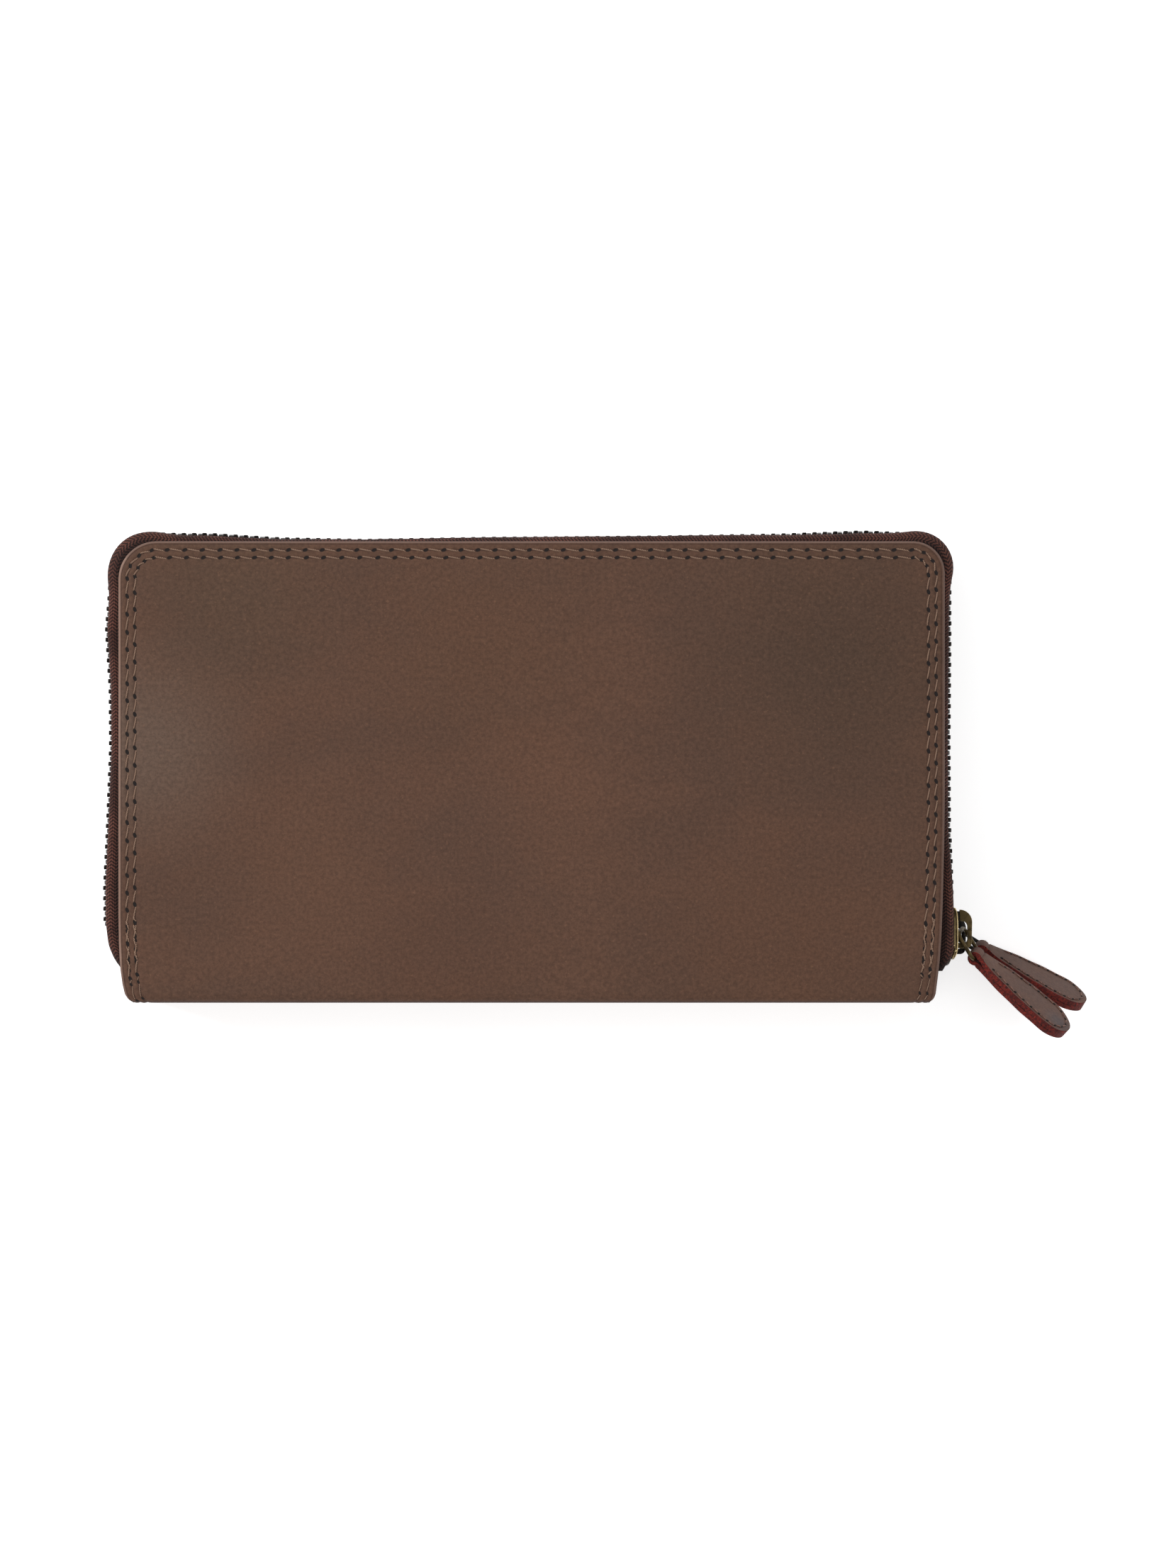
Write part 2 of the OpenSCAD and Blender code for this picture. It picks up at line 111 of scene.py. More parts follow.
# Each kind of stitch: pitch, the thread's radius, its slant, and the holes' length and width.
FULL_STITCH = (4.1, 0.19, 0.3, (1.25, 0.8))
FINE_STITCH = (4.1, 0.12, 0.22, (0.9, 0.55))
SECOND_STITCH = (3.1, 0.2, -0.34, (1.15, 0.7))
TAPE_LENGTH = 2 * (TOP_Y - TAPE_LOW_Y + HALF_W) - (2 - math.pi / 2) * (CORNER_LEFT + CORNER_RIGHT)


# ---- meshes -------------------------------------------------------------------------------------

class Mesh:
    """Points, faces and a material number for each face, gathered before they become an object."""

    def __init__(self):
        self.points = []
        self.faces = []
        self.kinds = []

    def add(self, points, faces, kinds=0):
        first = len(self.points)
        self.points += [tuple(p) for p in points]
        self.faces += [tuple(first + i for i in face) for face in faces]
        self.kinds += [kinds] * len(faces) if isinstance(kinds, int) else list(kinds)


def piece(name, mesh, materials, slot=None, strips=None, insets=None, sharp=40.0):
    """An object from a Mesh, with what its materials read stored on its points."""
    data = bpy.data.meshes.new(name)
    data.from_pydata([Vector(p) * MM for p in mesh.points], [], mesh.faces)
    data.polygons.foreach_set("material_index", mesh.kinds)
    for material in materials:
        data.materials.append(material)
    rest = data.attributes.new("rest", "FLOAT_VECTOR", "POINT")
    rest.data.foreach_set("vector", np.array(mesh.points, np.float32).ravel())
    if strips is not None:
        strip = data.attributes.new("strip", "FLOAT_VECTOR", "POINT")
        strip.data.foreach_set("vector", np.array(strips, np.float32).ravel())
    if insets is not None:
        inset = data.attributes.new("inset", "FLOAT", "POINT")
        inset.data.foreach_set("value", np.array(insets, np.float32))
    solid = bmesh.new()
    solid.from_mesh(data)
    bmesh.ops.recalc_face_normals(solid, faces=solid.faces)
    solid.to_mesh(data)
    solid.free()
    data.shade_smooth()
    data.set_sharp_from_angle(angle=math.radians(sharp))
    made = bpy.data.objects.new(name, data)
    bpy.context.scene.collection.objects.link(made)
    return made


def grid_faces(rows, wide, around=False):
    """Faces of a grid whose points come row by row. around closes each row on itself."""
    last = wide if around else wide - 1
    return [
        (k * wide + i, k * wide + (i + 1) % wide, (k + 1) * wide + (i + 1) % wide, (k + 1) * wide + i)
        for k in range(rows - 1) for i in range(last)
    ]


def end_faces(count, wide):
    """The two end faces of a grid of this many points, closed on itself."""
    return [tuple(range(wide)), tuple(reversed(range(count - wide, count)))]


def smooth(t):
    """From 0 to 1, starting and ending gently."""
    t = min(max(t, 0.0), 1.0)
    return t * t * (3 - 2 * t)


def rigid_piece(name, mesh, materials, slot, body, nodes=(), **looks):
    """A piece that rides on one body and stands for some CAD nodes."""
    made = piece(name, mesh, materials, slot, **looks)
    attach(made, body)
    if nodes:
        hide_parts(*nodes)


def hinged_piece(name, mesh, materials, slot, bodies, start, end, nodes, **looks):
    """A piece made in place, its transform baked into its points, standing for some CAD nodes."""
    made = piece(name, mesh, materials, slot, **looks)
    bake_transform(made)
    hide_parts(*nodes)


def shell(mesh, outer, inner, faces, kinds=(0, 1, 2)):
    """Adds a closed sheet: outer and inner surfaces that share one layout, and the rim between."""
    count = len(outer)
    used = {}
    for face in faces:
        for a, b in zip(face, face[1:] + face[:1]):
            used[(a, b)] = True
    rim = [(b, a, a + count, b + count) for a, b in used if (b, a) not in used]
    back = [tuple(count + i for i in reversed(face)) for face in faces]
    mesh.add(
        list(outer) + list(inner),
        list(faces) + back + rim,
        [kinds[0]] * len(faces) + [kinds[1]] * len(back) + [kinds[2]] * len(rim),
    )


def tube(mesh, line, radius, sides, up, closed=False):
    """Adds a round tube along a line of points. radius is one number, or one for each point."""
    line = [Vector(p) for p in line]
    count = len(line)
    radii = radius if hasattr(radius, "__len__") else [radius] * count
    points = []
    for i, p in enumerate(line):
        after = line[(i + 1) % count] if closed or i < count - 1 else p
        before = line[i - 1] if closed or i > 0 else p
        along = (after - before).normalized()
        across = along.cross(up).normalized()
        third = across.cross(along)
        for k in range(sides):
            angle = 2 * math.pi * k / sides
            points.append(p + radii[i] * (math.cos(angle) * across + math.sin(angle) * third))
    rows = count + 1 if closed else count
    faces = [tuple(i % len(points) for i in face) for face in grid_faces(rows, sides, True)]
    if not closed:
        faces += end_faces(len(points), sides)
    mesh.add(points, faces)


def bevelled(outlines, bevel, segments=2, cuts=(), bend=None):
    """Points, faces and kinds of prisms with rounded edges. Kind 1 is the rounded part.

    Each outline is (points in the plane, lowest height, highest height, the plane's three axes).
    """
    solid = bmesh.new()
    for outline, low, high, axes in outlines:
        across, along, out = (Vector(a) for a in axes)
        rings = [
            [solid.verts.new(p[0] * across + p[1] * along + h * out) for p in outline]
            for h in (low, high)
        ]
        solid.faces.new(rings[0])
        solid.faces.new(list(reversed(rings[1])))
        for i in range(len(outline)):
            j = (i + 1) % len(outline)
            solid.faces.new((rings[0][j], rings[0][i], rings[1][i], rings[1][j]))
    bmesh.ops.recalc_face_normals(solid, faces=solid.faces)
    sharp = [e for e in solid.edges if e.calc_face_angle(0) > math.radians(25)]
    bmesh.ops.bevel(
        solid, geom=sharp, offset=bevel, segments=segments, profile=0.5, affect="EDGES",
        material=1, clamp_overlap=True,
    )
    for x in cuts:
        geometry = solid.verts[:] + solid.edges[:] + solid.faces[:]
        bmesh.ops.bisect_plane(solid, geom=geometry, plane_co=(x, 0, 0), plane_no=(1, 0, 0))
    if bend:
        for v in solid.verts:
            v.co = bend(v.co)
    solid.verts.index_update()
    points = [v.co.copy() for v in solid.verts]
    faces = [tuple(v.index for v in f.verts) for f in solid.faces]
    kinds = [f.material_index for f in solid.faces]
    solid.free()
    return points, faces, kinds


def moved(points, matrix):
    return [matrix @ Vector(p) for p in points]


# ---- materials ----------------------------------------------------------------------------------

def srgb(r, g, b):
    """A colour from its 0 to 255 screen values."""
    def linear(c):
        c /= 255
        return c / 12.92 if c <= 0.04045 else ((c + 0.055) / 1.055) ** 2.4
    return (linear(r), linear(g), linear(b), 1.0)


class Finish:
    """A Principled material with short calls for its nodes. Its lengths are millimetres."""

    def __init__(self, name, roughness=0.7, metallic=0.0, cad=False, **sockets):
        self.material = bpy.data.materials.new(name)
        self.material.use_nodes = True
        self.tree = self.material.node_tree
        self.shader = self.tree.nodes["Principled BSDF"]
        self.shader.inputs["Roughness"].default_value = roughness
        self.shader.inputs["Metallic"].default_value = metallic
        for socket, value in sockets.items():
            self.shader.inputs[socket.replace("_", " ")].default_value = value
        if cad:
            self.place = self.scaled(self.node("ShaderNodeTexCoord").outputs["Object"], 1 / MM)
        else:
            self.place = self.attribute("rest")

    def node(self, kind, **settings):
        made = self.tree.nodes.new(kind)
        for key, value in settings.items():
            setattr(made, key, value)
        return made

    def link(self, source, target):
        if isinstance(source, (int, float, tuple)):
            target.default_value = source
        else:
            self.tree.links.new(source, target)

    def attribute(self, name, output="Vector"):
        return self.node("ShaderNodeAttribute", attribute_name=name).outputs[output]

    def scaled(self, vector, factors):
        made = self.node("ShaderNodeVectorMath", operation="MULTIPLY")
        self.link(vector, made.inputs[0])
        factors = factors if isinstance(factors, tuple) else (factors,) * 3
        made.inputs[1].default_value = factors
        return made.outputs[0]

    def math(self, operation, a, b=0.0):
        made = self.node("ShaderNodeMath", operation=operation)
        self.link(a, made.inputs[0])
        self.link(b, made.inputs[1])
        return made.outputs[0]

    def times(self, a, b):
        return self.math("MULTIPLY", a, b)

    def plus(self, a, b):
        return self.math("ADD", a, b)

    def wave(self, value, length):
        """From -1 to 1 and back in each length."""
        return self.math("SINE", self.times(value, 2 * math.pi / length))

    def axis(self, vector, name):
        split = self.node("ShaderNodeSeparateXYZ")
        self.link(vector, split.inputs[0])
        return split.outputs[name]

    def noise(self, size, detail=2.0, distortion=0.0, stretch=(1, 1, 1), roughness=0.5):
        made = self.node("ShaderNodeTexNoise")
        self.link(self.scaled(self.place, tuple(k / size for k in stretch)), made.inputs["Vector"])
        made.inputs["Scale"].default_value = 1.0
        made.inputs["Detail"].default_value = detail
        made.inputs["Roughness"].default_value = roughness
        made.inputs["Distortion"].default_value = distortion
        return made.outputs["Fac"]

    def steps(self, value, low, high, to_low=0.0, to_high=1.0):
        made = self.node("ShaderNodeMapRange", interpolation_type="SMOOTHSTEP")
        for key, number in zip(
            ("Value", "From Min", "From Max", "To Min", "To Max"),
            (value, low, high, to_low, to_high),
        ):
            self.link(number, made.inputs[key])
        return made.outputs[0]

    def near(self, centre, reach):
        """1 at a place and 0 from reach onwards, falling smoothly."""
        made = self.node("ShaderNodeVectorMath", operation="DISTANCE")
        self.link(self.place, made.inputs[0])
        made.inputs[1].default_value = centre
        return self.steps(made.outputs["Value"], 0.0, reach, 1.0, 0.0)

    def mix(self, factor, a, b, blend="MIX"):
        made = self.node("ShaderNodeMix", data_type="RGBA", blend_type=blend)
        self.link(factor, made.inputs["Factor"])
        self.link(a, made.inputs[6])
        self.link(b, made.inputs[7])
        return made.outputs[2]

    def grey(self, value):
        made = self.node("ShaderNodeCombineColor")
        for socket in made.inputs:
            self.link(value, socket)
        return made.outputs[0]

    def colour(self, source):
        self.link(source, self.shader.inputs["Base Color"])

    def bump(self, height, depth, strength=1.0):
        """Adds relief of this depth, over any relief that is there already."""
        made = self.node("ShaderNodeBump")
        made.inputs["Strength"].default_value = strength
        made.inputs["Distance"].default_value = depth * MM
        self.link(height, made.inputs["Height"])
        socket = self.shader.inputs["Normal"]
        if socket.links:
            self.tree.links.new(socket.links[0].from_socket, made.inputs["Normal"])
        self.tree.links.new(made.outputs[0], socket)


def leather_finish(
    name, dark, middle, warm, patches=(), grain=0.22, roughness=(0.7, 0.76), cad=False
):
    """Oiled, matte leather: soft clouds of colour, fine grain, faint scratches and pores."""
    f = Finish(name, cad=cad, Specular_IOR_Level=0.25)
    clouds = f.noise(24, detail=4, distortion=0.4, stretch=(0.8, 1.2, 1.0))
    mottle = f.noise(6, detail=5, roughness=0.6)
    base = f.mix(f.steps(clouds, 0.35, 0.65), dark, warm)
    base = f.mix(0.45, base, middle)
    base = f.mix(f.steps(mottle, 0.45, 0.75, 0.0, 0.3), base, warm)
    for centre, reach, tint, amount in patches:
        base = f.mix(f.times(f.near(centre, reach), amount), base, tint)
    fine = f.noise(0.9, detail=5, roughness=0.75)
    base = f.mix(1.0, base, f.grey(f.steps(fine, 0.3, 0.7, 1 - grain, 1 + grain)), "MULTIPLY")
    flecks = f.noise(0.7, detail=2)
    base = f.mix(f.steps(flecks, 0.6, 0.75, 0.0, 0.3), base, srgb(132, 96, 74))
    streaks = f.noise(1.6, detail=3, stretch=(0.35, 1.6, 1.0))
    base = f.mix(f.steps(streaks, 0.62, 0.8, 0.0, 0.22), base, warm)
    f.colour(base)
    f.link(f.steps(mottle, 0.3, 0.7, *roughness), f.shader.inputs["Roughness"])
    f.bump(f.noise(3.5, detail=3), 0.04, 0.4)
    f.bump(fine, 0.035, 0.9)
    return f


def edged(f, rim, crease):
    """Leather's cut edge: darker at the very rim, a painted highlight along the rounded edge just
    inside it, and painted shade in the crease, the stitch grooves and along the rear fold.
    """
    inset = f.attribute("inset", "Fac")
    base = f.shader.inputs["Base Color"].links[0].from_socket
    # Painted highlight along the rounded edge, in the crease colour; after it the very rim is made
    # darker.
    base = f.mix(f.steps(inset, 0.3, 0.7, 0.6, 0.0), base, crease)
    base = f.mix(f.steps(inset, 0.0, 0.14, 0.9, 0.0), base, rim)
    # Painted shade in the two stitch grooves.
    for row in STITCH_INSETS:
        from_row = f.math("ABSOLUTE", f.math("SUBTRACT", inset, row))
        base = f.mix(f.steps(from_row, 0.1, 0.42, 0.45, 0.0), base, rim)
    # Painted shade along the crease groove.
    from_line = f.math("ABSOLUTE", f.math("SUBTRACT", inset, 0.75))
    line = f.math("SUBTRACT", 1.0, f.steps(from_line, 0.0, 0.3))
    base = f.mix(f.times(line, 0.35), base, rim)
    # Painted highlight on the left edge above the spine, and painted shade along the rear cover's
    # fold.
    x, y, z = (f.axis(f.place, name) for name in "XYZ")
    left_edge_highlight = f.times(f.steps(x, -HALF_W + 3, -HALF_W + 1.5), f.steps(y, -49, -43))
    left_edge_highlight = f.times(left_edge_highlight, f.steps(inset, 0.35, 0.75, 0.45, 0.0))
    base = f.mix(left_edge_highlight, base, srgb(158, 128, 112))
    fold = f.times(f.steps(y, SPINE_Y + 0.2, SPINE_Y + 0.7, 0.8, 0.0), f.steps(z, 23.0, 25.0))
    f.colour(f.mix(fold, base, rim))
    return f.material


def woven_finish(name, dark, light, yarn=0.8, chevron=1.1, depth=0.14, source="strip"):
    """Woven cloth: yarns that run in chevrons, every chevron millimetres across the strip.

    With source "strip" the cloth is a zip's tape: a painted highlight on its shoulder, painted shade
    where it goes in under the leather, and darker at its ends.
    """
    f = Finish(name, roughness=0.85, Specular_IOR_Level=0.25)
    strip = f.attribute(source)
    along, across = f.axis(strip, "X"), f.axis(strip, "Y")
    fold = f.math("PINGPONG", across, chevron)
    wobble = f.times(f.noise(1.3, detail=1), 0.35)
    phase = f.plus(f.plus(along, f.times(fold, 0.75)), wobble)
    yarns, threads = f.wave(phase, yarn), f.wave(across, chevron / 2)
    height = f.times(f.plus(f.times(yarns, 0.7), f.times(threads, 0.3)), 0.5)
    height = f.plus(height, 0.5)
    tone = f.mix(f.steps(height, 0.25, 0.95), dark, light)
    fuzz = f.noise(0.3, detail=3, roughness=0.7)
    tone = f.mix(1.0, tone, f.grey(f.steps(fuzz, 0.3, 0.7, 0.7, 1.3)), "MULTIPLY")
    if source == "strip":
        # Painted highlight on the tape's shoulder.
        shoulder = f.times(f.steps(across, 1.4, 3.0), f.steps(across, 4.2, 6.0, 1.0, 0.0))
        tone = f.mix(f.times(shoulder, 0.35), tone, f.mix(height, dark, srgb(128, 76, 62)))
        # Painted shade where the tape goes in under the leather's edge.
        tone = f.mix(f.steps(across, 4.6, 6.2, 0.0, 0.6), tone, dark)
        soiled = f.noise(13, detail=3, roughness=0.6)
        tone = f.mix(f.steps(soiled, 0.4, 0.62, 0.5, 0.0), tone, dark)
        # Darker towards both ends of the tape.
        dark_start = f.steps(along, 0.5, 6.0, 1.0, 0.0)
        dark_end = f.steps(along, TAPE_LENGTH - 5, TAPE_LENGTH - 1)
        dark_ends = f.math("MAXIMUM", dark_start, dark_end)
        tone = f.mix(f.times(dark_ends, 0.75), tone, srgb(16, 10, 10))
    f.colour(tone)
    f.bump(height, depth, 1.0)
    f.bump(fuzz, 0.03, 0.5)
    return f.material


def metal_finish(name, base, stain, roughness=(0.3, 0.5), cad=False, amount=0.8):
    """Plated metal with a blotchy patina and fine scratches."""
    f = Finish(name, metallic=1.0, cad=cad)
    patina = f.noise(1.8, detail=4, distortion=0.4)
    f.colour(f.mix(f.steps(patina, 0.4, 0.65, 0.0, amount), base, stain))
    scratches = f.noise(0.4, detail=3, stretch=(1.0, 0.15, 1.0))
    f.link(f.steps(f.noise(0.7, detail=2), 0.3, 0.7, *roughness), f.shader.inputs["Roughness"])
    f.bump(scratches, 0.006, 0.6)
    return f.material


def thread_finish(name, dark, light):
    """Twisted sewing thread."""
    f = Finish(name, roughness=0.65, Specular_IOR_Level=0.4)
    x, y, z = (f.axis(f.place, name) for name in "XYZ")
    twist = f.wave(f.plus(f.plus(x, y), z), 0.42)
    f.colour(f.mix(f.steps(twist, -1.0, 1.0), dark, light))
    f.bump(twist, 0.04, 0.8)
    return f.material


def fibre_finish(name, dark, light):
    """Dyed cut edge of thick leather, rough and fibrous."""
    f = Finish(name, roughness=0.8, Specular_IOR_Level=0.3)
    fibres = f.noise(0.55, detail=5, distortion=0.8, roughness=0.7)
    blotches = f.noise(2.6, detail=3)
    tone = f.mix(f.steps(fibres, 0.38, 0.66), dark, light)
    f.colour(f.mix(f.steps(blotches, 0.45, 0.7, 0.0, 0.45), tone, dark))
    f.bump(fibres, 0.16, 1.0)
    return f.material


LEATHER_PATCHES = (
    ((-92, 6, WALLET_T), 34, srgb(101, 81, 69), 0.85),
    ((-70, 40, WALLET_T), 34, srgb(84, 64, 50), 0.6),
    ((72, 26, WALLET_T), 50, srgb(76, 57, 45), 0.8),
    ((-12, 26, WALLET_T), 40, srgb(92, 64, 47), 0.5),
    ((60, -45, WALLET_T), 45, srgb(93, 64, 48), 0.6),
    ((-52, -22, WALLET_T), 34, srgb(98, 69, 53), 0.6),
    ((-20, -50, WALLET_T), 36, srgb(91, 62, 47), 0.5),
    ((4, -2, WALLET_T), 30, srgb(104, 72, 55), 0.55),
)
# The two edge colours: dark, for the very rim and the painted shade in grooves and fold; light, for
# the painted highlight along the edge.
LEATHER = edged(
    leather_finish(
        "outer_leather", srgb(86, 62, 50), srgb(91, 65, 51), srgb(97, 68, 53), LEATHER_PATCHES
    ),
    srgb(66, 45, 40),
    srgb(128, 104, 94),
)
LEATHER_BACK = leather_finish(
    "leather_flesh_side", srgb(92, 66, 50), srgb(104, 78, 60), srgb(116, 88, 68)
).material
LEATHER_EDGE = leather_finish(
    "leather_cut_edge", srgb(58, 40, 35), srgb(70, 50, 43), srgb(84, 60, 50)
).material
INNER_LEATHER = leather_finish(
    "inner_leather", srgb(58, 41, 34), srgb(66, 48, 40), srgb(76, 54, 44),
    grain=0.08, roughness=(0.66, 0.76),
).material
TAPE = woven_finish("zip_tape", srgb(24, 12, 11), srgb(96, 60, 51))
LINING = woven_finish(
    "lining_twill", srgb(54, 38, 31), srgb(88, 66, 54), chevron=40.0, depth=0.05, source="rest"
)
TEETH = metal_finish("zip_teeth", srgb(58, 54, 52), srgb(24, 22, 22), (0.25, 0.4))
BRASS = metal_finish("antique_brass", srgb(92, 78, 52), srgb(50, 42, 30), (0.3, 0.5))
# Painted highlight: lighter brass for the sliders' rounded edges.
HIGHLIGHT_BRASS = metal_finish(
    "highlight_brass", srgb(206, 184, 138), srgb(150, 128, 86), (0.22, 0.35), amount=0.5
)
# Painted shade: a dark, shaded copy of the sliders' metal, for the lower slider and ring, which lie in
# shadow behind the upper ones, and for the small foot under each slider's bridge.
SHADED_METAL = metal_finish("shaded_metal", srgb(44, 42, 40), srgb(22, 21, 20), (0.22, 0.38))
THREAD = thread_finish("cover_thread", srgb(94, 69, 56), srgb(168, 136, 114))
TAB_THREAD = thread_finish("tab_thread", srgb(72, 46, 38), srgb(136, 98, 84))
# Near-black stitch holes: painted shade for the holes' depth.
HOLE_SHADE = Finish("stitch_hole", roughness=0.9)
HOLE_SHADE.colour(HOLE_SHADE.mix(HOLE_SHADE.noise(0.5), srgb(14, 8, 7), srgb(28, 17, 14)))
HOLE_SHADE = HOLE_SHADE.material
# The grey-blue patch near the tab's tip is a painted shadow.
TAB_FACE = leather_finish(
    "tab_leather", srgb(86, 64, 56), srgb(101, 76, 67), srgb(110, 79, 66),
    (((126, -58, 22), 6, srgb(74, 70, 74), 0.8),), grain=0.14,
).material
TAB_EDGE = fibre_finish("tab_edge", srgb(56, 14, 12), srgb(128, 38, 27))
BOARD = leather_finish(
    "grey_board", srgb(128, 120, 110), srgb(140, 132, 122), srgb(150, 142, 130), cad=True
).material
CAST_BRASS = metal_finish("cast_brass", srgb(92, 78, 52), srgb(50, 42, 30), (0.3, 0.5), cad=True)


# ---- outlines of the covers ---------------------------------------------------------------------

class Edge:
    """The open edge of a cover or sheet: up the left side, along the top, down the right side."""

    def __init__(self, inset=0.0, low=SPINE_Y, r_left=CORNER_LEFT, r_right=CORNER_RIGHT):
        self.half = HALF_W - inset
        self.top = TOP_Y - inset
        self.low = low
        self.r_left = max(r_left - inset, 0.6)
        self.r_right = max(r_right - inset, 0.6)
        runs = (
            self.top - self.r_left - low,
            math.pi / 2 * self.r_left,
            2 * self.half - self.r_left - self.r_right,
            math.pi / 2 * self.r_right,
            self.top - self.r_right - low,
        )
        self.ends = np.concatenate([[0.0], np.cumsum(runs)])
        self.length = self.ends[-1]

    def at(self, s):
        """Point on the edge and the direction out of it, at a distance along it."""
        ends = self.ends
        if s <= ends[1]:
            return Vector((-self.half, self.low + s)), Vector((-1, 0))
        if s <= ends[2]:
            angle = math.pi - (s - ends[1]) / self.r_left
            out = Vector((math.cos(angle), math.sin(angle)))
            centre = Vector((-self.half + self.r_left, self.top - self.r_left))
            return centre + self.r_left * out, out
        if s <= ends[3]:
            return Vector((-self.half + self.r_left + s - ends[2], self.top)), Vector((0, 1))
        if s <= ends[4]:
            angle = math.pi / 2 - (s - ends[3]) / self.r_right
            out = Vector((math.cos(angle), math.sin(angle)))
            centre = Vector((self.half - self.r_right, self.top - self.r_right))
            return centre + self.r_right * out, out
        return Vector((self.half, self.top - self.r_right - (s - ends[4]))), Vector((1, 0))

    def stations(self, step):
        """Distances along the edge, in three even stretches that meet at the corners' middles."""
        corners = [0.0, sum(self.ends[1:3]) / 2, sum(self.ends[3:5]) / 2, self.length]
        side = round(corners[1] / step)
        top = round((corners[2] - corners[1]) / step)
        counts = (side, top, side)
        out = [0.0]
        for a, b, n in zip(corners, corners[1:], counts):
            out += list(np.linspace(a, b, n + 1)[1:])
        return out, side, top


def edge_grid(edge, rings, step):
    """A flat grid that follows a cover's edge: a band of rings, then a patch inside them.

    Gives the points, each point's distance in from the edge, the faces, and the bottom row.
    """
    distances, side, top = edge.stations(step)
    wide = len(rings)
    flat, insets = [], []
    for s in distances:
        p, out = edge.at(s)
        for d in rings:
            flat.append(p - out * d)
            insets.append(d)
    faces = grid_faces(len(distances), wide)

    def ring(k):
        return k * wide + wide - 1

    ids = {}
    for v in range(side + 1):
        ids[0, v] = ring(v)
        ids[top, v] = ring(2 * side + top - v)
    for i in range(top + 1):
        ids[i, side] = ring(side + i)
    corner = {key: flat[ids[key]] for key in ((0, 0), (top, 0), (0, side), (top, side))}
    for i in range(1, top):
        for j in range(side):
            u, v = i / top, j / side
            low = corner[0, 0].lerp(corner[top, 0], u)
            across = flat[ids[0, j]] * (1 - u) + flat[ids[top, j]] * u
            upright = low * (1 - v) + flat[ids[i, side]] * v
            both = low * (1 - v) + corner[0, side].lerp(corner[top, side], u) * v
            ids[i, j] = len(flat)
            flat.append(across + upright - both)
            insets.append(rings[-1] + 4.0)
    for i in range(top):
        for j in range(side):
            faces.append((ids[i, j], ids[i + 1, j], ids[i + 1, j + 1], ids[i, j + 1]))
    last = (len(distances) - 1) * wide
    bottom = list(range(wide)) + [ids[i, 0] for i in range(1, top)]
    bottom += [last + j for j in reversed(range(wide))]
    return flat, insets, faces, bottom


# ---- covers -------------------------------------------------------------------------------------

def taper(x, y):
    """How far the side that x is on comes in at an unrolled height."""
    rows = LEFT_TAPER if x < 0 else RIGHT_TAPER
    return float(np.interp(y, [row[0] for row in rows], [row[1] for row in rows]))


def wave(x, y):
    """Gentle unevenness of the hide."""
    broad = noise.noise(Vector((x / 46, y / 40, 3.1)))
    small = noise.noise(Vector((x / 13, y / 12, 8.7)))
    return 0.3 * broad + 0.07 * small


def on_cover(side, x, y, height=0.0):
    """A place over a cover's outer face. y runs on, unrolled, round the fold and down the spine."""
    x *= 1 - taper(x, y) / HALF_W
    fold_y = SPINE_Y + FOLD_R
    turn = min(max((fold_y - y) / FOLD_R, 0.0), math.pi / 2)
    down = max(fold_y - math.pi / 2 * FOLD_R - y, 0.0)
    fade = 1 - turn / (math.pi / 2)
    if side > 0:
        height += wave(x, y) * fade
    else:
        height -= max(0.12 + 0.4 * wave(x, y), 0.0) * fade
    reach = FOLD_R + height
    flat_y = max(y, fold_y)
    z = WALLET_T - FOLD_R + reach * math.cos(turn) - down
    place_y = flat_y - reach * math.sin(turn)
    return Vector((x, place_y, z if side > 0 else WALLET_T - z))


# Across the leather's edge, from the rim in: (distance, height of the outer face).
EDGE_PROFILE = (
    (0, -0.55), (0.12, -0.26), (0.35, -0.08), (0.55, -0.02), (0.7, -0.1), (0.9, 0),
    (1.5, 0.02), (1.8, -0.03), (2.1, -0.13), (2.4, -0.03), (3.0, 0.05),
    (3.6, -0.03), (3.9, -0.13), (4.2, -0.03), (4.8, 0),
)
EDGE_RINGS, EDGE_HEIGHTS = zip(*EDGE_PROFILE)


def edge_drop(inset):
    """Height of the outer face near its edge: rounded rim, pressed crease, stitch grooves."""
    return float(np.interp(inset, EDGE_RINGS, EDGE_HEIGHTS))


def cover_sheet(name, side, bodies, nodes):
    """One half of the hide: a cover's face, the fold along the spine, and half of the spine."""
    fold_y = SPINE_Y + FOLD_R
    flat, insets, faces, bottom = edge_grid(Edge(low=fold_y), (*EDGE_RINGS, 6.0), 1.15)
    spine = MIDDLE_Z - FOLD_R
    downs = [FOLD_R * math.pi / 2 * k / 7 for k in range(1, 8)]
    downs += [downs[-1] + spine * k / 12 for k in range(1, 13)]
    row = bottom
    for down in downs:
        first = len(flat)
        for i in bottom:
            flat.append(Vector((flat[i].x, fold_y - down)))
            insets.append(insets[i])
        new = list(range(first, len(flat)))
        faces += [(row[k], new[k], new[k + 1], row[k + 1]) for k in range(len(row) - 1)]
        row = new
    outer = [on_cover(side, p.x, p.y, edge_drop(d)) for p, d in zip(flat, insets)]
    back_rim = [0.3 if d == 0 else 0.1 if d < 0.2 else 0.0 for d in insets]
    inner = [on_cover(side, p.x, p.y, lift - LEATHER_T) for p, lift in zip(flat, back_rim)]
    mesh = Mesh()
    shell(mesh, outer, inner, faces)
    hinge_z = UPPER_CHAIN_Z if side > 0 else LOWER_CHAIN_Z
    start, end = (0, SPINE_Y, hinge_z - 2), (0, SPINE_Y, hinge_z + 2)
    hinged_piece(
        name, mesh, (LEATHER, LEATHER_BACK, LEATHER_EDGE), "outer_leather", bodies, start, end, nodes,
        insets=insets * 2,
    )


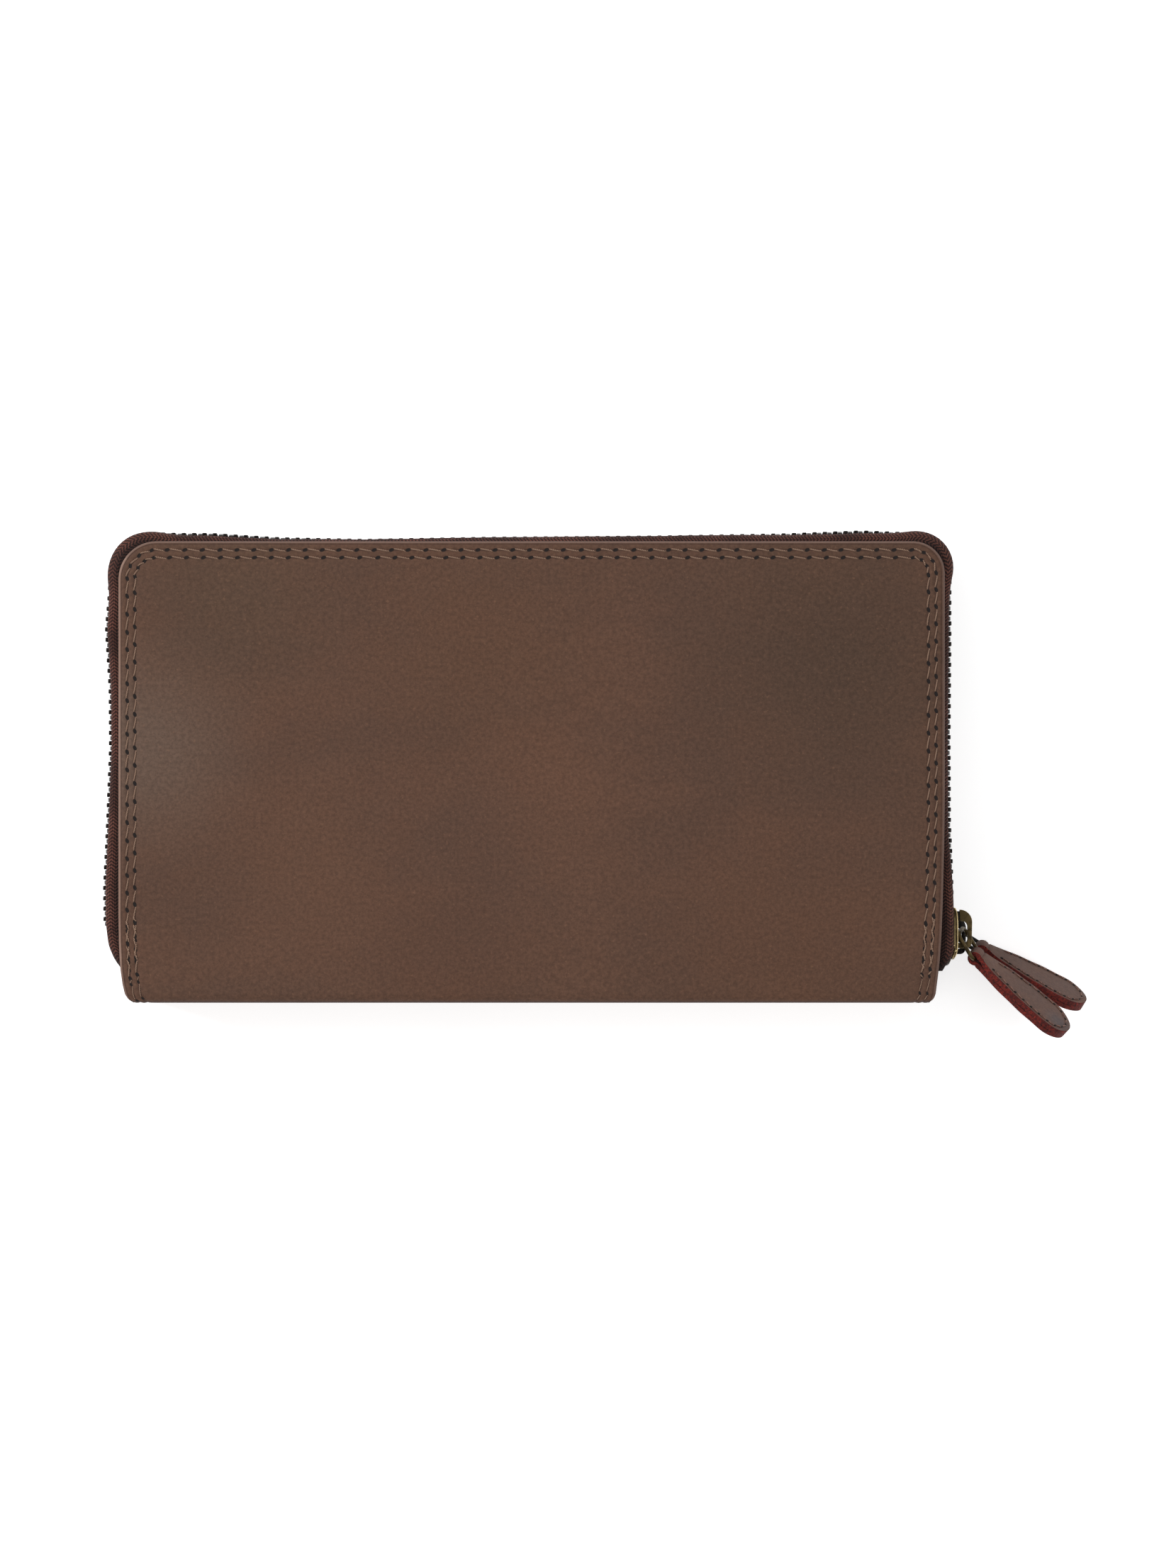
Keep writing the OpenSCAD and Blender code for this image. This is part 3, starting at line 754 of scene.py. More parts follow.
def stitch_hole(mesh, place, along, across, up, length, width):
    """Adds a dark, slightly hollow oval where the thread goes in; its dark colour is painted shade for
    the hole's depth.
    """
    sides = 10
    points = [place + up * 0.03]
    for lift, grow in ((0.15, 1.0), (-0.2, 0.9)):
        for k in range(sides):
            angle = 2 * math.pi * k / sides
            x, y = grow * length / 2 * math.cos(angle), grow * width / 2 * math.sin(angle)
            points.append(place + along * x + across * y + up * lift)
    points.append(place - up * 0.25)
    faces = []
    for k in range(sides):
        n = (k + 1) % sides
        faces += [(0, 1 + k, 1 + n), (1 + k, 1 + sides + k, 1 + sides + n, 1 + n)]
        faces.append((2 * sides + 1, 1 + sides + n, 1 + sides + k))
    mesh.add(points, faces, 1)


def stitches(mesh, line, begin, end, pitch, thread_r, slant, hole, seed, lift=0.26):
    """Sews along line(s), which gives a place, the way along it and the way up, from begin to end."""
    chance = random.Random(seed)
    s = begin
    while s < end:
        step = pitch * (1 + 0.05 * chance.uniform(-1, 1))
        place, along, up = line(s)
        across = up.cross(along)
        lean = 0.42 + 0.1 * chance.uniform(-1, 1)
        tilted = (along + across * lean).normalized()
        stitch_hole(mesh, place, tilted, up.cross(tilted), up, *hole)
        a, b = s + hole[0] * 0.36, min(s + step, end) - hole[0] * 0.36
        points, radii = [], []
        wobble = 0.12 * chance.uniform(-1, 1)
        for k in range(9):
            t = k / 8
            place, along, up = line(a + (b - a) * t)
            across = up.cross(along)
            rise = lift * min(1.0, 2.2 * math.sin(math.pi * t)) - 0.12
            shift = slant * (1 - 2 * t) + wobble * math.sin(math.pi * t)
            points.append(place + across * shift + up * rise)
            radii.append(thread_r * (0.7 + 0.3 * math.sin(math.pi * t)))
        tube(mesh, points, radii, 7, line(a)[2])
        s += step


def cover_stitching(name, side, body):
    """Two rows of stitches along a cover's three open sides.

    The thread is pulled fine near the spine, and a stretch above it is sewn twice at both ends.
    """
    mesh = Mesh()
    edge = Edge(low=SPINE_Y - 1.2)
    for row, inset in enumerate(STITCH_INSETS):
        def line(s, inset=inset):
            def place(q):
                p, out = edge.at(min(max(q, 0.0), edge.length))
                p = p - out * inset
                return on_cover(side, p.x, p.y, edge_drop(inset))
            here = place(s)
            along = (place(s + 0.2) - place(s - 0.2)).normalized()
            p, out = edge.at(min(max(s, 0.0), edge.length))
            up = Vector((0, 0, side))
            if p.y < SPINE_Y + FOLD_R:
                turn = (SPINE_Y + FOLD_R - p.y) / FOLD_R
                up = Vector((0, -math.sin(turn), side * math.cos(turn)))
            up = (up - along * up.dot(along)).normalized()
            return here, along, up

        runs = (
            (1.6 + 0.7 * row, 7.0 + 0.9 * row, FINE_STITCH),
            (7.0 + 0.9 * row, edge.length - 7.5, FULL_STITCH),
            (edge.length - 7.5, edge.length - 1.4, FINE_STITCH),
        )
        for begin, end, look in runs:
            stitches(mesh, line, begin, end, *look, 11 + row + 2 * side)
        for begin in (9.0, edge.length - 22.0):
            stitches(mesh, line, begin + 1.9 * row, begin + 12 + row, *SECOND_STITCH, 31 + row, 0.34)
    rigid_piece(name, mesh, (THREAD, HOLE_SHADE), "outer_leather", body)


# ---- zips ---------------------------------------------------------------------------------------

ZIP_EDGE = Edge(low=TAPE_LOW_Y)
CHAIN_TOP_Y = -36.0
CHAIN_END_Y = -41.5
TOOTH_PITCH = 2.45
# How far the chain stands outside the cover's edge. Each row is (distance along that side, offset).
LEFT_OFFSETS = (
    (-47, -1.3), (-45, 0.6), (-41, 2.4), (-36, 3.0), (-27, 3.1),
    (-12, 2.4), (6, 1.7), (20, 1.8), (34, 2.7), (42, 2.0),
)
TOP_OFFSETS = (
    (-84, 1.2), (-76, 1.2), (-60, 0.2), (-40, -0.2), (-10, 0.3),
    (30, 0.6), (60, 1.1), (78, 1.8), (86, 1.5),
)
RIGHT_OFFSETS = (
    (44, 0.9), (30, 0.9), (8, 0.7), (-12, 0.8), (-22, 1.25),
    (-28, 1.4), (-43, 1.4), (-45.4, -0.1), (-47, -1.6),
)


def offset_table():
    """Offsets at even distances along the zip's edge, smoothed."""
    ends = ZIP_EDGE.ends
    known = [(y - ZIP_EDGE.low, c) for y, c in LEFT_OFFSETS]
    known += [(ends[2] + x + HALF_W - CORNER_LEFT, c) for x, c in TOP_OFFSETS]
    known += [(ends[4] + TOP_Y - CORNER_RIGHT - y, c) for y, c in RIGHT_OFFSETS]
    s = np.arange(0, ZIP_EDGE.length + 1, 0.5)
    values = np.interp(s, [k[0] for k in known], [k[1] for k in known])
    kernel = np.hanning(11) / np.hanning(11).sum()
    padded = np.concatenate([[values[0]] * 5, values, [values[-1]] * 5])
    return s, np.convolve(padded, kernel, "valid")


OFFSET_S, UPPER_OFFSETS = offset_table()
LOWER_OFFSETS = 0.55 * UPPER_OFFSETS + 0.45 * np.minimum(UPPER_OFFSETS, 1.0)


def chain_offset(s, upper):
    return float(np.interp(s, OFFSET_S, UPPER_OFFSETS if upper else LOWER_OFFSETS))


def corner_bulge(s):
    """Extra swell of the tape round the two corners, where it leans out over its teeth."""
    ends = ZIP_EDGE.ends
    middles = (sum(ends[1:3]) / 2, sum(ends[3:5]) / 2)
    top = (ends[2] + ends[3]) / 2
    corners = sum(1.55 * math.exp(-(((s - m) / 8.5) ** 2)) for m in middles)
    return corners + 0.6 * math.exp(-(((s - top) / 62) ** 6))


def shoulder_shift(s):
    """How far the outer tapes' shoulders lean out over the sliders' sides."""
    y = ZIP_EDGE.low + ZIP_EDGE.length - s
    return 0.75 * smooth((-14 - y) / 20)


def tape_mesh(chain_z, rise, flange_z):
    """A tape half from beside its chain, round its shoulder, to its edge sewn under the leather."""
    upper = chain_z > MIDDLE_Z
    height = abs(flange_z - chain_z)
    shoulder = 1.5
    start = 1.55
    steps = round(ZIP_EDGE.length)
    outer, inner, strips = [], [], []
    for k in range(steps + 1):
        s = ZIP_EDGE.length * k / steps
        p, out = ZIP_EDGE.at(s)
        c = chain_offset(s, upper)
        swell = corner_bulge(s)
        profile = []
        for t in np.linspace(0, 1, 6):
            h = start + (height - shoulder - start) * t
            profile.append((c, h))
        for t in np.linspace(0, math.pi / 2, 7)[1:]:
            inwards, up = shoulder * (1 - math.cos(t)), shoulder * math.sin(t)
            profile.append((c - inwards, height - shoulder + up))
        for n in np.linspace(c - shoulder, -7.5, 5)[1:]:
            profile.append((n, height))
        over = shoulder_shift(s) if height > 5 else 0.0
        swollen = []
        for n, h in profile:
            t = (h - start) / (height - start)
            lean = swell * math.sin(math.pi * min(max(t, 0), 1) ** 0.8)
            swollen.append((n + lean + (over if h > 4.1 else 0.0), h))
        wide = len(swollen)
        run = 0.0
        for i, (n, h) in enumerate(swollen):
            before, after = swollen[max(i - 1, 0)], swollen[min(i + 1, wide - 1)]
            slope = Vector((after[0] - before[0], after[1] - before[1])).normalized()
            side = Vector((slope.y, -slope.x)) * 0.25
            if i:
                run += math.dist(swollen[i - 1], (n, h))
            ripple = 0.06 * noise.noise(Vector((s / 5, h, chain_z)))
            for sign, target in ((1, outer), (-1, inner)):
                reach = n + sign * side.x + ripple
                z = chain_z + rise * (h + sign * side.y)
                target.append(Vector((*(p + out * reach), z)))
            strips.append((s, run, 0))
    mesh = Mesh()
    shell(mesh, outer, inner, grid_faces(steps + 1, wide), kinds=(0, 0, 0))
    return mesh, strips * 2


OPEN_START_Y = -47.0
OPEN_END_Y = 4.0


def zip_tape(name, chain_z, rise, flange_z, nodes, bodies):
    """A tape, riding on its body when it has one; with two bodies it goes to hinged_piece and stays in
    place.
    """
    mesh, strips = tape_mesh(chain_z, rise, flange_z)
    if len(bodies) == 1:
        rigid_piece(name, mesh, (TAPE,), "zip_tape", *bodies, nodes, strips=strips)
        return
    low_z = chain_z + rise * 2.0
    along, upright = 1 / (OPEN_END_Y - OPEN_START_Y), 1 / (flange_z - low_z)
    start = Vector((0, OPEN_START_Y, low_z))
    end = start + Vector((0, along, upright)) / (along ** 2 + upright ** 2)
    hinged_piece(name, mesh, (TAPE,), "zip_tape", bodies, start, end, nodes, strips=strips)


def tooth_parts():
    """One tooth that points up: two legs round the tape, and a narrower head below."""
    reach, overlap, half = 2.9, 0.9, 1.0
    outline = [
        (-half, reach), (-half, 0.2), (-0.62 * half, -overlap), (0.62 * half, -overlap),
        (half, 0.2), (half, reach), (0.3, reach), (0.3, 1.5), (-0.3, 1.5), (-0.3, reach),
    ]
    return bevelled([(outline, -0.52, 0.52, SIDE_AXES)], 0.17)


TOOTH = tooth_parts()


def teeth_row(name, chain_z, rise, count, nodes, bodies):
    """A row of teeth, riding on its body when it has one; with two bodies it goes to hinged_piece and
    stays in place.
    """
    mesh = Mesh()
    upper = chain_z > MIDDLE_Z
    points, faces, kinds = TOOTH
    begin = CHAIN_TOP_Y - ZIP_EDGE.low
    for i in range(count):
        s = begin + (i + (0.5 if rise > 0 else 0)) * TOOTH_PITCH
        p, out = ZIP_EDGE.at(s)
        centre = p + out * chain_offset(s, upper)
        matrix = Matrix((
            (out.x, -out.y, 0, centre.x),
            (out.y, out.x, 0, centre.y),
            (0, 0, rise, chain_z),
            (0, 0, 0, 1),
        ))
        mesh.add(moved(points, matrix), faces, kinds)
    if len(bodies) == 1:
        rigid_piece(name, mesh, (TEETH, TEETH), "zip_teeth", *bodies, nodes)
        return
    start, end = (0, OPEN_START_Y, chain_z), (0, OPEN_END_Y, chain_z)
    hinged_piece(name, mesh, (TEETH, TEETH), "zip_teeth", bodies, start, end, nodes)


def top_stops(name, chain_z, slider_y, body, node):
    """Two small clips on the tapes, past the slider's closed end."""
    mesh = Mesh()
    y = slider_y - 7.1
    s = ZIP_EDGE.length - (y - ZIP_EDGE.low)
    x = ZIP_EDGE.at(s)[0].x + chain_offset(s, chain_z > MIDDLE_Z)
    square = [(-0.9, -1.2), (0.9, -1.2), (0.9, 1.2), (-0.9, 1.2)]
    points, faces, kinds = bevelled([(square, -0.7, 0.7, SIDE_AXES)], 0.3)
    for rise in (-1, 1):
        mesh.add(moved(points, Matrix.Translation((x, y, chain_z + rise * 2.1))), faces, kinds)
    rigid_piece(name, mesh, (TEETH, TEETH), "zip_teeth", body, (node,))


# ---- sliders, rings and tabs --------------------------------------------------------------------

def arc(cx, cy, r, begin, end, count):
    """Points round an arc, angles in degrees."""
    return [
        (cx + r * math.cos(math.radians(a)), cy + r * math.sin(math.radians(a)))
        for a in np.linspace(begin, end, count)
    ]


def slider_parts():
    """A slider in its own frame: X along the chain, Y across the tapes, Z outwards."""
    half_l, half_w = 6.2, 4.1
    plate = arc(-2.4, 0, half_w, 118, 242, 15)
    plate += [(1.0, -3.3), *arc(half_l - 1.6, -1.9, 1.4, -90, -20, 5)]
    plate += [*arc(half_l - 1.6, 1.9, 1.4, 20, 90, 5), (1.0, 3.3)]
    cuts = np.arange(-6, 6.1, 0.8)

    def curl(v):
        """Bends a plate's two ends in towards the chain."""
        share = abs(v.z) / 2.1
        return Vector((v.x, v.y, v.z - math.copysign(0.75 * share * (abs(v.x) / half_l) ** 4, v.z)))

    plates = [(plate, s * 1.15, s * 2.1, WORLD_AXES) for s in (-1, 1)]
    parts = [bevelled(plates, 0.26, 3, cuts, curl)]
    rail = ((-4.6, 3.05), (-3.0, 3.85), (0.5, 3.45), (5.0, 3.2), (5.0, 3.02))
    lips = [
        ([(x, e * y) for x, y in rail], s * 0.5, s * 1.3, WORLD_AXES) for s in (-1, 1) for e in (-1, 1)
    ]
    parts.append(bevelled(lips, 0.14))
    post = arc(-5.0, 0, 0.9, 0, 330, 12)
    parts.append(bevelled([(post, -1.3, 1.3, WORLD_AXES)], 0.05, 1))
    high, low = 5.55, 2.0
    bridge = [(-3.75, low), *arc(-2.35, high - 1.5, 1.4, 180, 90, 7)]
    bridge += [*arc(2.45, high - 2.95, 2.95, 90, 12, 10), (5.35, low + 0.65), (2.75, low + 0.65)]
    bridge += [(2.7, 3.15), *arc(1.3, 3.15, 1.35, 0, 90, 7), *arc(-1.7, 3.7, 0.8, 90, 180, 5)]
    bridge += [(-2.5, low)]
    parts.append(bevelled([(bridge, -0.95, 0.95, SIDE_AXES)], 0.24, 3))
    # The foot takes the third material, the dark shaded metal: painted shade.
    foot = [(3.1, low - 0.3), (5.0, low - 0.3), (5.0, low + 0.9), (3.1, low + 0.9)]
    points, faces, kinds = bevelled([(foot, -0.35, 0.35, SIDE_AXES)], 0.1, 1)
    parts.append((points, faces, [2] * len(kinds)))
    return parts


SLIDER_PARTS = slider_parts()


def zip_slider(name, place, body, metal, edge_highlight_metal, sharp=35.0):
    mesh = Mesh()
    for points, faces, kinds in SLIDER_PARTS:
        mesh.add(moved(points, place), faces, kinds)
    rigid_piece(name, mesh, (metal, edge_highlight_metal, SHADED_METAL), "antique_brass", body, (body,), sharp=sharp)


RING_LEN = 7.2
RING_W = 5.6
RING_WIRE = 0.47
# How each pull hangs: direction, droop, lean, and turn of the tab on its ring, in degrees.
UPPER_HANG = (-40, 0, 26, 20)
LOWER_HANG = (-28, 2, 22, 4)


def ring_frame(pivot, hang):
    """Frame of a ring: X from the slider to the tab, Z along the ring's end wires."""
    made = Matrix.Translation(pivot)
    for angle, axis in ((hang[0], "Z"), (hang[1], "Y"), (hang[2], "X"), (-hang[3], "Z")):
        made = made @ Matrix.Rotation(math.radians(angle), 4, axis)
    return made


def tab_frame(pivot, hang):
    turn = Matrix.Rotation(math.radians(hang[3]), 4, "Z")
    return ring_frame(pivot, hang) @ Matrix.Translation((RING_LEN, 0, 0)) @ turn


def ring(name, pivot, hang, body, metal):
    """A wire link with round corners."""
    bend = 1.5
    line = []
    for cx, cz, begin in (
        (bend, RING_W / 2 - bend, 180), (RING_LEN - bend, RING_W / 2 - bend, 90),
        (RING_LEN - bend, -RING_W / 2 + bend, 0), (bend, -RING_W / 2 + bend, -90),
    ):
        line += [Vector((x, 0, z)) for x, z in arc(cx, cz, bend, begin, begin - 90, 9)]
    mesh = Mesh()
    place = ring_frame(pivot, hang)
    tube(mesh, moved(line, place), RING_WIRE, 16, place.to_3x3() @ Vector((0, 1, 0)), closed=True)
    rigid_piece(name, mesh, (metal,), "antique_brass", body, (body,), sharp=60)


TAB_LEN = 28.0
TAB_HALF_W = 6.25
TAB_HEAD = 3.6
TAB_T = 1.2
TAB_BORE = 0.53


def tab_half_width(x):
    """Half the width of the teardrop at a distance from the ring."""
    tip = TAB_LEN - TAB_HALF_W
    if x > tip:
        return math.sqrt(max(TAB_HALF_W ** 2 - (x - tip) ** 2, 0.0))
    t = max(x - 1.5, 0.0) / (tip - 1.5)
    return TAB_HEAD / 2 + (TAB_HALF_W - TAB_HEAD / 2) * math.sin(math.pi / 2 * t) ** 0.66


def tab_line(sign):
    """One leaf's middle line, tip first: (distance from the ring, side place, direction out)."""
    tip = TAB_LEN - TAB_HALF_W
    xs = [tip + TAB_HALF_W * math.sin(a) for a in np.linspace(math.pi / 2, 0, 16)]
    xs += list(np.linspace(tip, 3.2, 26)[1:])
    rest = 0.03 + TAB_T / 2
    return [(x, sign * (rest + 0.04 * math.sin(x * 0.9)), sign) for x in xs]


def tab(name, pivot, hang, body):
    """A leather strip folded round the ring, its two leaves sewn together."""
    mesh = Mesh()
    place = tab_frame(pivot, hang)
    loop_r = TAB_BORE + TAB_T / 2
    stations = [(Vector((x, y)), Vector((0, s))) for x, y, s in tab_line(1)]
    ease = [(2.4, 0.72), (1.6, 0.9)]
    stations += [(Vector((x, y)), Vector((-0.25, 1)).normalized()) for x, y in ease]
    for a in np.linspace(50, 310, 20):
        out = Vector((math.cos(math.radians(a)), math.sin(math.radians(a))))
        stations.append((out * loop_r, out))
    stations += [(Vector((x, -y)), Vector((-0.25, -1)).normalized()) for x, y in reversed(ease)]
    stations += [(Vector((x, y)), Vector((0, s))) for x, y, s in reversed(tab_line(-1))]
    profile = [(-1.0, -0.5), (-1.0, 0.3), (-0.985, 0.44), (-0.93, 0.5)]
    profile += [(v, 0.5) for v in (-0.8, -0.6, -0.3, 0, 0.3, 0.6, 0.8)]
    profile += [(0.93, 0.5), (0.985, 0.44), (1.0, 0.3), (1.0, -0.5), (0.5, -0.5), (-0.5, -0.5)]
    wide = len(profile)
    points = []
    for centre, out in stations:
        half = max(tab_half_width(centre.x), 0.02)
        for v, h in profile:
            crown = 0.1 * (1 - v * v) if h == 0.5 else 0.0
            groove = -0.08 if h == 0.5 and abs(abs(v) - 0.8) < 0.01 else 0.0
            p = centre + out * (h * TAB_T + crown + groove)
            points.append(place @ Vector((p.x, p.y, v * half)))
    on_face = [0 if 3 <= i <= 10 else 1 for i in range(wide)]
    faces = grid_faces(len(stations), wide, True) + end_faces(len(points), wide)
    mesh.add(points, faces, on_face * (len(stations) - 1) + [1, 1])
    rigid_piece(name, mesh, (TAB_FACE, TAB_EDGE), "tab_leather", body, (body,), sharp=50)
    sewing = Mesh()
    for face in (-1, 1):
        def line(s, face=face):
            def spot(q):
                x, z = tab_seam(q)
                return place @ Vector((x, face * (TAB_T + 0.06), z))
            here = spot(s)
            along = (spot(s + 0.15) - spot(s - 0.15)).normalized()
            up = place.to_3x3() @ Vector((0, face, 0))
            return here, along, up
        stitches(
            sewing, line, 0.4, SEAM_LENGTH - 0.4, 2.5, 0.18, 0.12, (0.8, 0.4), 71 + face, lift=0.22
        )
    rigid_piece(name + "_stitching", sewing, (TAB_THREAD, HOLE_SHADE), "tab_leather", body)


def seam_points():
    """The seam inside a tab's border: down one side, round the tip and back."""
    inset = 1.35
    xs = np.linspace(4.6, TAB_LEN - TAB_HALF_W, 30)
    side = [(x, tab_half_width(x) - inset) for x in xs]
    tip = arc(TAB_LEN - TAB_HALF_W, 0, TAB_HALF_W - inset, 88, -88, 30)
    return np.array(side + tip + [(x, -z) for x, z in reversed(side)])


SEAM = seam_points()
SEAM_RUN = np.concatenate([[0], np.cumsum(np.linalg.norm(np.diff(SEAM, axis=0), axis=1))])
SEAM_LENGTH = float(SEAM_RUN[-1])


def tab_seam(s):
    return float(np.interp(s, SEAM_RUN, SEAM[:, 0])), float(np.interp(s, SEAM_RUN, SEAM[:, 1]))


# ---- everything outside -------------------------------------------------------------------------

cover_sheet(
    "rear_cover_leather", 1, ("divider", "rear_cover"),
    ("rear_leather", "rear_spine_turn", "spine_leather"),
)
cover_sheet(
    "front_cover_leather", -1, ("front_cover", "divider"), ("front_leather", "front_spine_turn")
)
cover_stitching("rear_cover_stitching", 1, "rear_cover")
cover_stitching("front_cover_stitching", -1, "front_cover")

FLANGE = 2.0
STRIP_FLANGE = 12.4
CHAIN_RUN = ZIP_EDGE.length - (CHAIN_TOP_Y - ZIP_EDGE.low) - (CHAIN_END_Y - ZIP_EDGE.low)
TEETH_IN_ROW = int(CHAIN_RUN / TOOTH_PITCH)
# One row for each half of a zip: the zip, where the half is, its chain's height, the way it rises,
# its sewn edge's height, what its CAD nodes' names end in, and its bodies.
ZIP_HALVES = (
    (
        "upper", "under_rear_cover", UPPER_CHAIN_Z, 1, WALLET_T - FLANGE,
        ("rear", "end"), ("divider", "rear_cover"),
    ),
    ("upper", "on_divider", UPPER_CHAIN_Z, -1, WALLET_T - STRIP_FLANGE, ("divider",), ("divider",)),
    (
        "lower", "on_divider", LOWER_CHAIN_Z, 1, STRIP_FLANGE,
        ("divider", "end"), ("front_cover", "divider"),
    ),
    ("lower", "on_front_cover", LOWER_CHAIN_Z, -1, FLANGE, ("front",), ("front_cover",)),
)
for which, where, chain_z, rise, flange_z, ends, bodies in ZIP_HALVES:
    tape_nodes = [f"{which}_tape_{end}" for end in ends]
    zip_tape(f"{which}_tape_{where}", chain_z, rise, flange_z, tape_nodes, bodies)
for which, where, chain_z, rise, flange_z, ends, bodies in ZIP_HALVES:
    count = TEETH_IN_ROW + (1 if rise < 0 else 0)
    teeth_nodes = [f"{which}_teeth_{end}" for end in ends]
    teeth_row(f"{which}_teeth_{where}", chain_z, rise, count, teeth_nodes, bodies)
top_stops("upper_zip_stops", UPPER_CHAIN_Z, UPPER_SLIDER_Y, "divider", "upper_top_stops")
top_stops("lower_zip_stops", LOWER_CHAIN_Z, LOWER_SLIDER_Y, "front_cover", "lower_top_stops")

# The upper slider stands a little out of its tapes, and the lower one a little nearer the spine.
UPPER_SLIDER_PLACE = Vector((SLIDER_X + 0.4, UPPER_SLIDER_Y, UPPER_CHAIN_Z))
LOWER_SLIDER_PLACE = Vector((SLIDER_X, LOWER_SLIDER_Y - 0.9, LOWER_CHAIN_Z))
UPPER_PIVOT = joint_place("upper_ring_swing")
LOWER_PIVOT = joint_place("lower_ring_swing")
# The slider's own X, Y and Z lie along the wallet's Y, Z and X.
STANDING = Matrix(((0, 0, 1, 0), (1, 0, 0, 0), (0, 1, 0, 0), (0, 0, 0, 1)))
zip_slider(
    "upper_zip_slider", Matrix.Translation(UPPER_SLIDER_PLACE) @ STANDING, "upper_slider",
    BRASS, HIGHLIGHT_BRASS,
)
# The lower slider and its ring are in the dark shaded metal: painted shade.
zip_slider(
    "lower_zip_slider", Matrix.Translation(LOWER_SLIDER_PLACE) @ STANDING, "lower_slider",
    SHADED_METAL, BRASS,
)
ring("upper_wire_ring", UPPER_PIVOT, UPPER_HANG, "upper_ring", BRASS)
ring("lower_wire_ring", LOWER_PIVOT, LOWER_HANG, "lower_ring", SHADED_METAL)
tab("upper_pull_tab", UPPER_PIVOT, UPPER_HANG, "upper_tab")
tab("lower_pull_tab", LOWER_PIVOT, LOWER_HANG, "lower_tab")


# ---- everything inside --------------------------------------------------------------------------

def lines_between(low, high, step, extra=()):
    """Grid lines from low to high, with closer ones beside both ends."""
    lines = list(np.linspace(low, high, max(2, round((high - low) / step)) + 1))
    for d in (0.12, 0.4):
        lines += [low + d, high - d]
    return sorted({round(float(v), 3) for v in lines + list(extra)})


def soft_sheet(mesh, x, y, z, radii=(0, 0), step=3.0, hole=None, hem=0):
    """Adds a thin sheet that fills a box, with soft edges and a slight unevenness.

    radii round its two top corners, hole is (x, y) ranges of a slot, and hem is the side (1 or -1)
    on which the top edge is folded over.
    """
    extra_x, extra_y = hole if hole else ((), ())
    hem_lines = [y[1] - d for d in (0.8, 2.0, 4.4, 4.7)] if hem else []
    xs, ys = lines_between(*x, step, extra_x), lines_between(*y, step, list(extra_y) + hem_lines)
    high, low = [], []
    for py in ys:
        for px in xs:
            side = -1 if px < (x[0] + x[1]) / 2 else 1
            r = radii[0] if side < 0 else radii[1]
            corner_x = x[0] + r if side < 0 else x[1] - r
            corner_y = y[1] - r
            qx, qy = px, py
            if r and side * (px - corner_x) > 0 and py > corner_y:
                u, v = side * (px - corner_x) / r, (py - corner_y) / r
                qx = corner_x + side * r * u * math.sqrt(1 - v * v / 2)
                qy = corner_y + r * v * math.sqrt(1 - u * u / 2)
            qx *= 1 - taper(qx, qy) / HALF_W
            edge = min(px - x[0], x[1] - px, py - y[0], y[1] - py)
            soft = 0.32 * (z[1] - z[0]) * max(0.0, 1 - edge / 0.4) ** 2
            shift = 0.05 * noise.noise(Vector((qx / 17, qy / 15, 5.0)))
            bump = 0.0
            if hem:
                from_top = y[1] - py
                across = math.sin(math.pi * (px - x[0]) / (x[1] - x[0]))
                shift += hem * 0.35 * across * math.exp(-((from_top / 6) ** 2))
                bump = 0.22 if from_top <= 4.4 else 0.0
            high.append((qx, qy, z[1] - soft + shift + (bump if hem > 0 else 0)))
            low.append((qx, qy, z[0] + soft + shift - (bump if hem < 0 else 0)))
    faces = grid_faces(len(ys), len(xs))
    if hole:
        def in_hole(face):
            j, i = divmod(face[0], len(xs))
            middle_x, middle_y = (xs[i] + xs[i + 1]) / 2, (ys[j] + ys[j + 1]) / 2
            return hole[0][0] < middle_x < hole[0][1] and hole[1][0] < middle_y < hole[1][1]
        faces = [face for face in faces if not in_hole(face)]
    shell(mesh, high, low, faces)


def sew(mesh, a, b, up, pitch=3.0, seed=1):
    """Adds a straight seam from a to b."""
    a, b = Vector(a), Vector(b)
    along = (b - a).normalized()
    stitches(
        mesh, lambda s: (a + along * s, along, Vector((0, 0, up))), 0.3, (b - a).length - 0.3,
        pitch, 0.14, 0.08, (0.6, 0.3), seed, lift=0.2,
    )


def lining(name, node, body, corner_inset, hole=None):
    """A cloth sheet glued to a cover or to the divider."""
    mesh = Mesh()
    radii = (CORNER_LEFT - corner_inset, CORNER_RIGHT - corner_inset)
    soft_sheet(mesh, *mm_ranges(node), radii, hole=hole)
    rigid_piece(name, mesh, (LINING,) * 3, "lining", body, (node,))


def sewn_pocket(name, mesh, sewing, body, node):
    rigid_piece(name, mesh, (INNER_LEATHER,) * 3, "inner_leather", body, (node,))
    rigid_piece(name + "_seams", sewing, (INNER_THREAD, HOLE_SHADE), "inner_leather", body)


def card_pockets(name, node, body, side):
    """Two columns of stepped pockets, with hemmed tops, sewn round three sides."""
    low, high = mm_box(node)
    mesh, sewing = Mesh(), Mesh()
    rows, step, thick, drop = 4, 0.5, 0.4, 12.0
    for row in range(rows):
        base = low.z + row * step if side > 0 else high.z - row * step - thick
        top = high.y - drop * row
        face = base + thick + 0.18 if side > 0 else base - 0.18
        for x in ((low.x, -2.0), (2.0, high.x)):
            soft_sheet(mesh, x, (low.y, top), (base, base + thick), step=4.0, hem=side)
            sew(sewing, (x[0] + 2.5, top - 4.0, face), (x[1] - 2.5, top - 4.0, face), side, seed=row)
            if row == rows - 1:
                seam_z = face - side * 0.1
                for edge in (x[0] + 1.6, x[1] - 1.6):
                    sew(sewing, (edge, low.y + 1, seam_z), (edge, top - 1, seam_z), side)
    sewn_pocket(name, mesh, sewing, body, node)


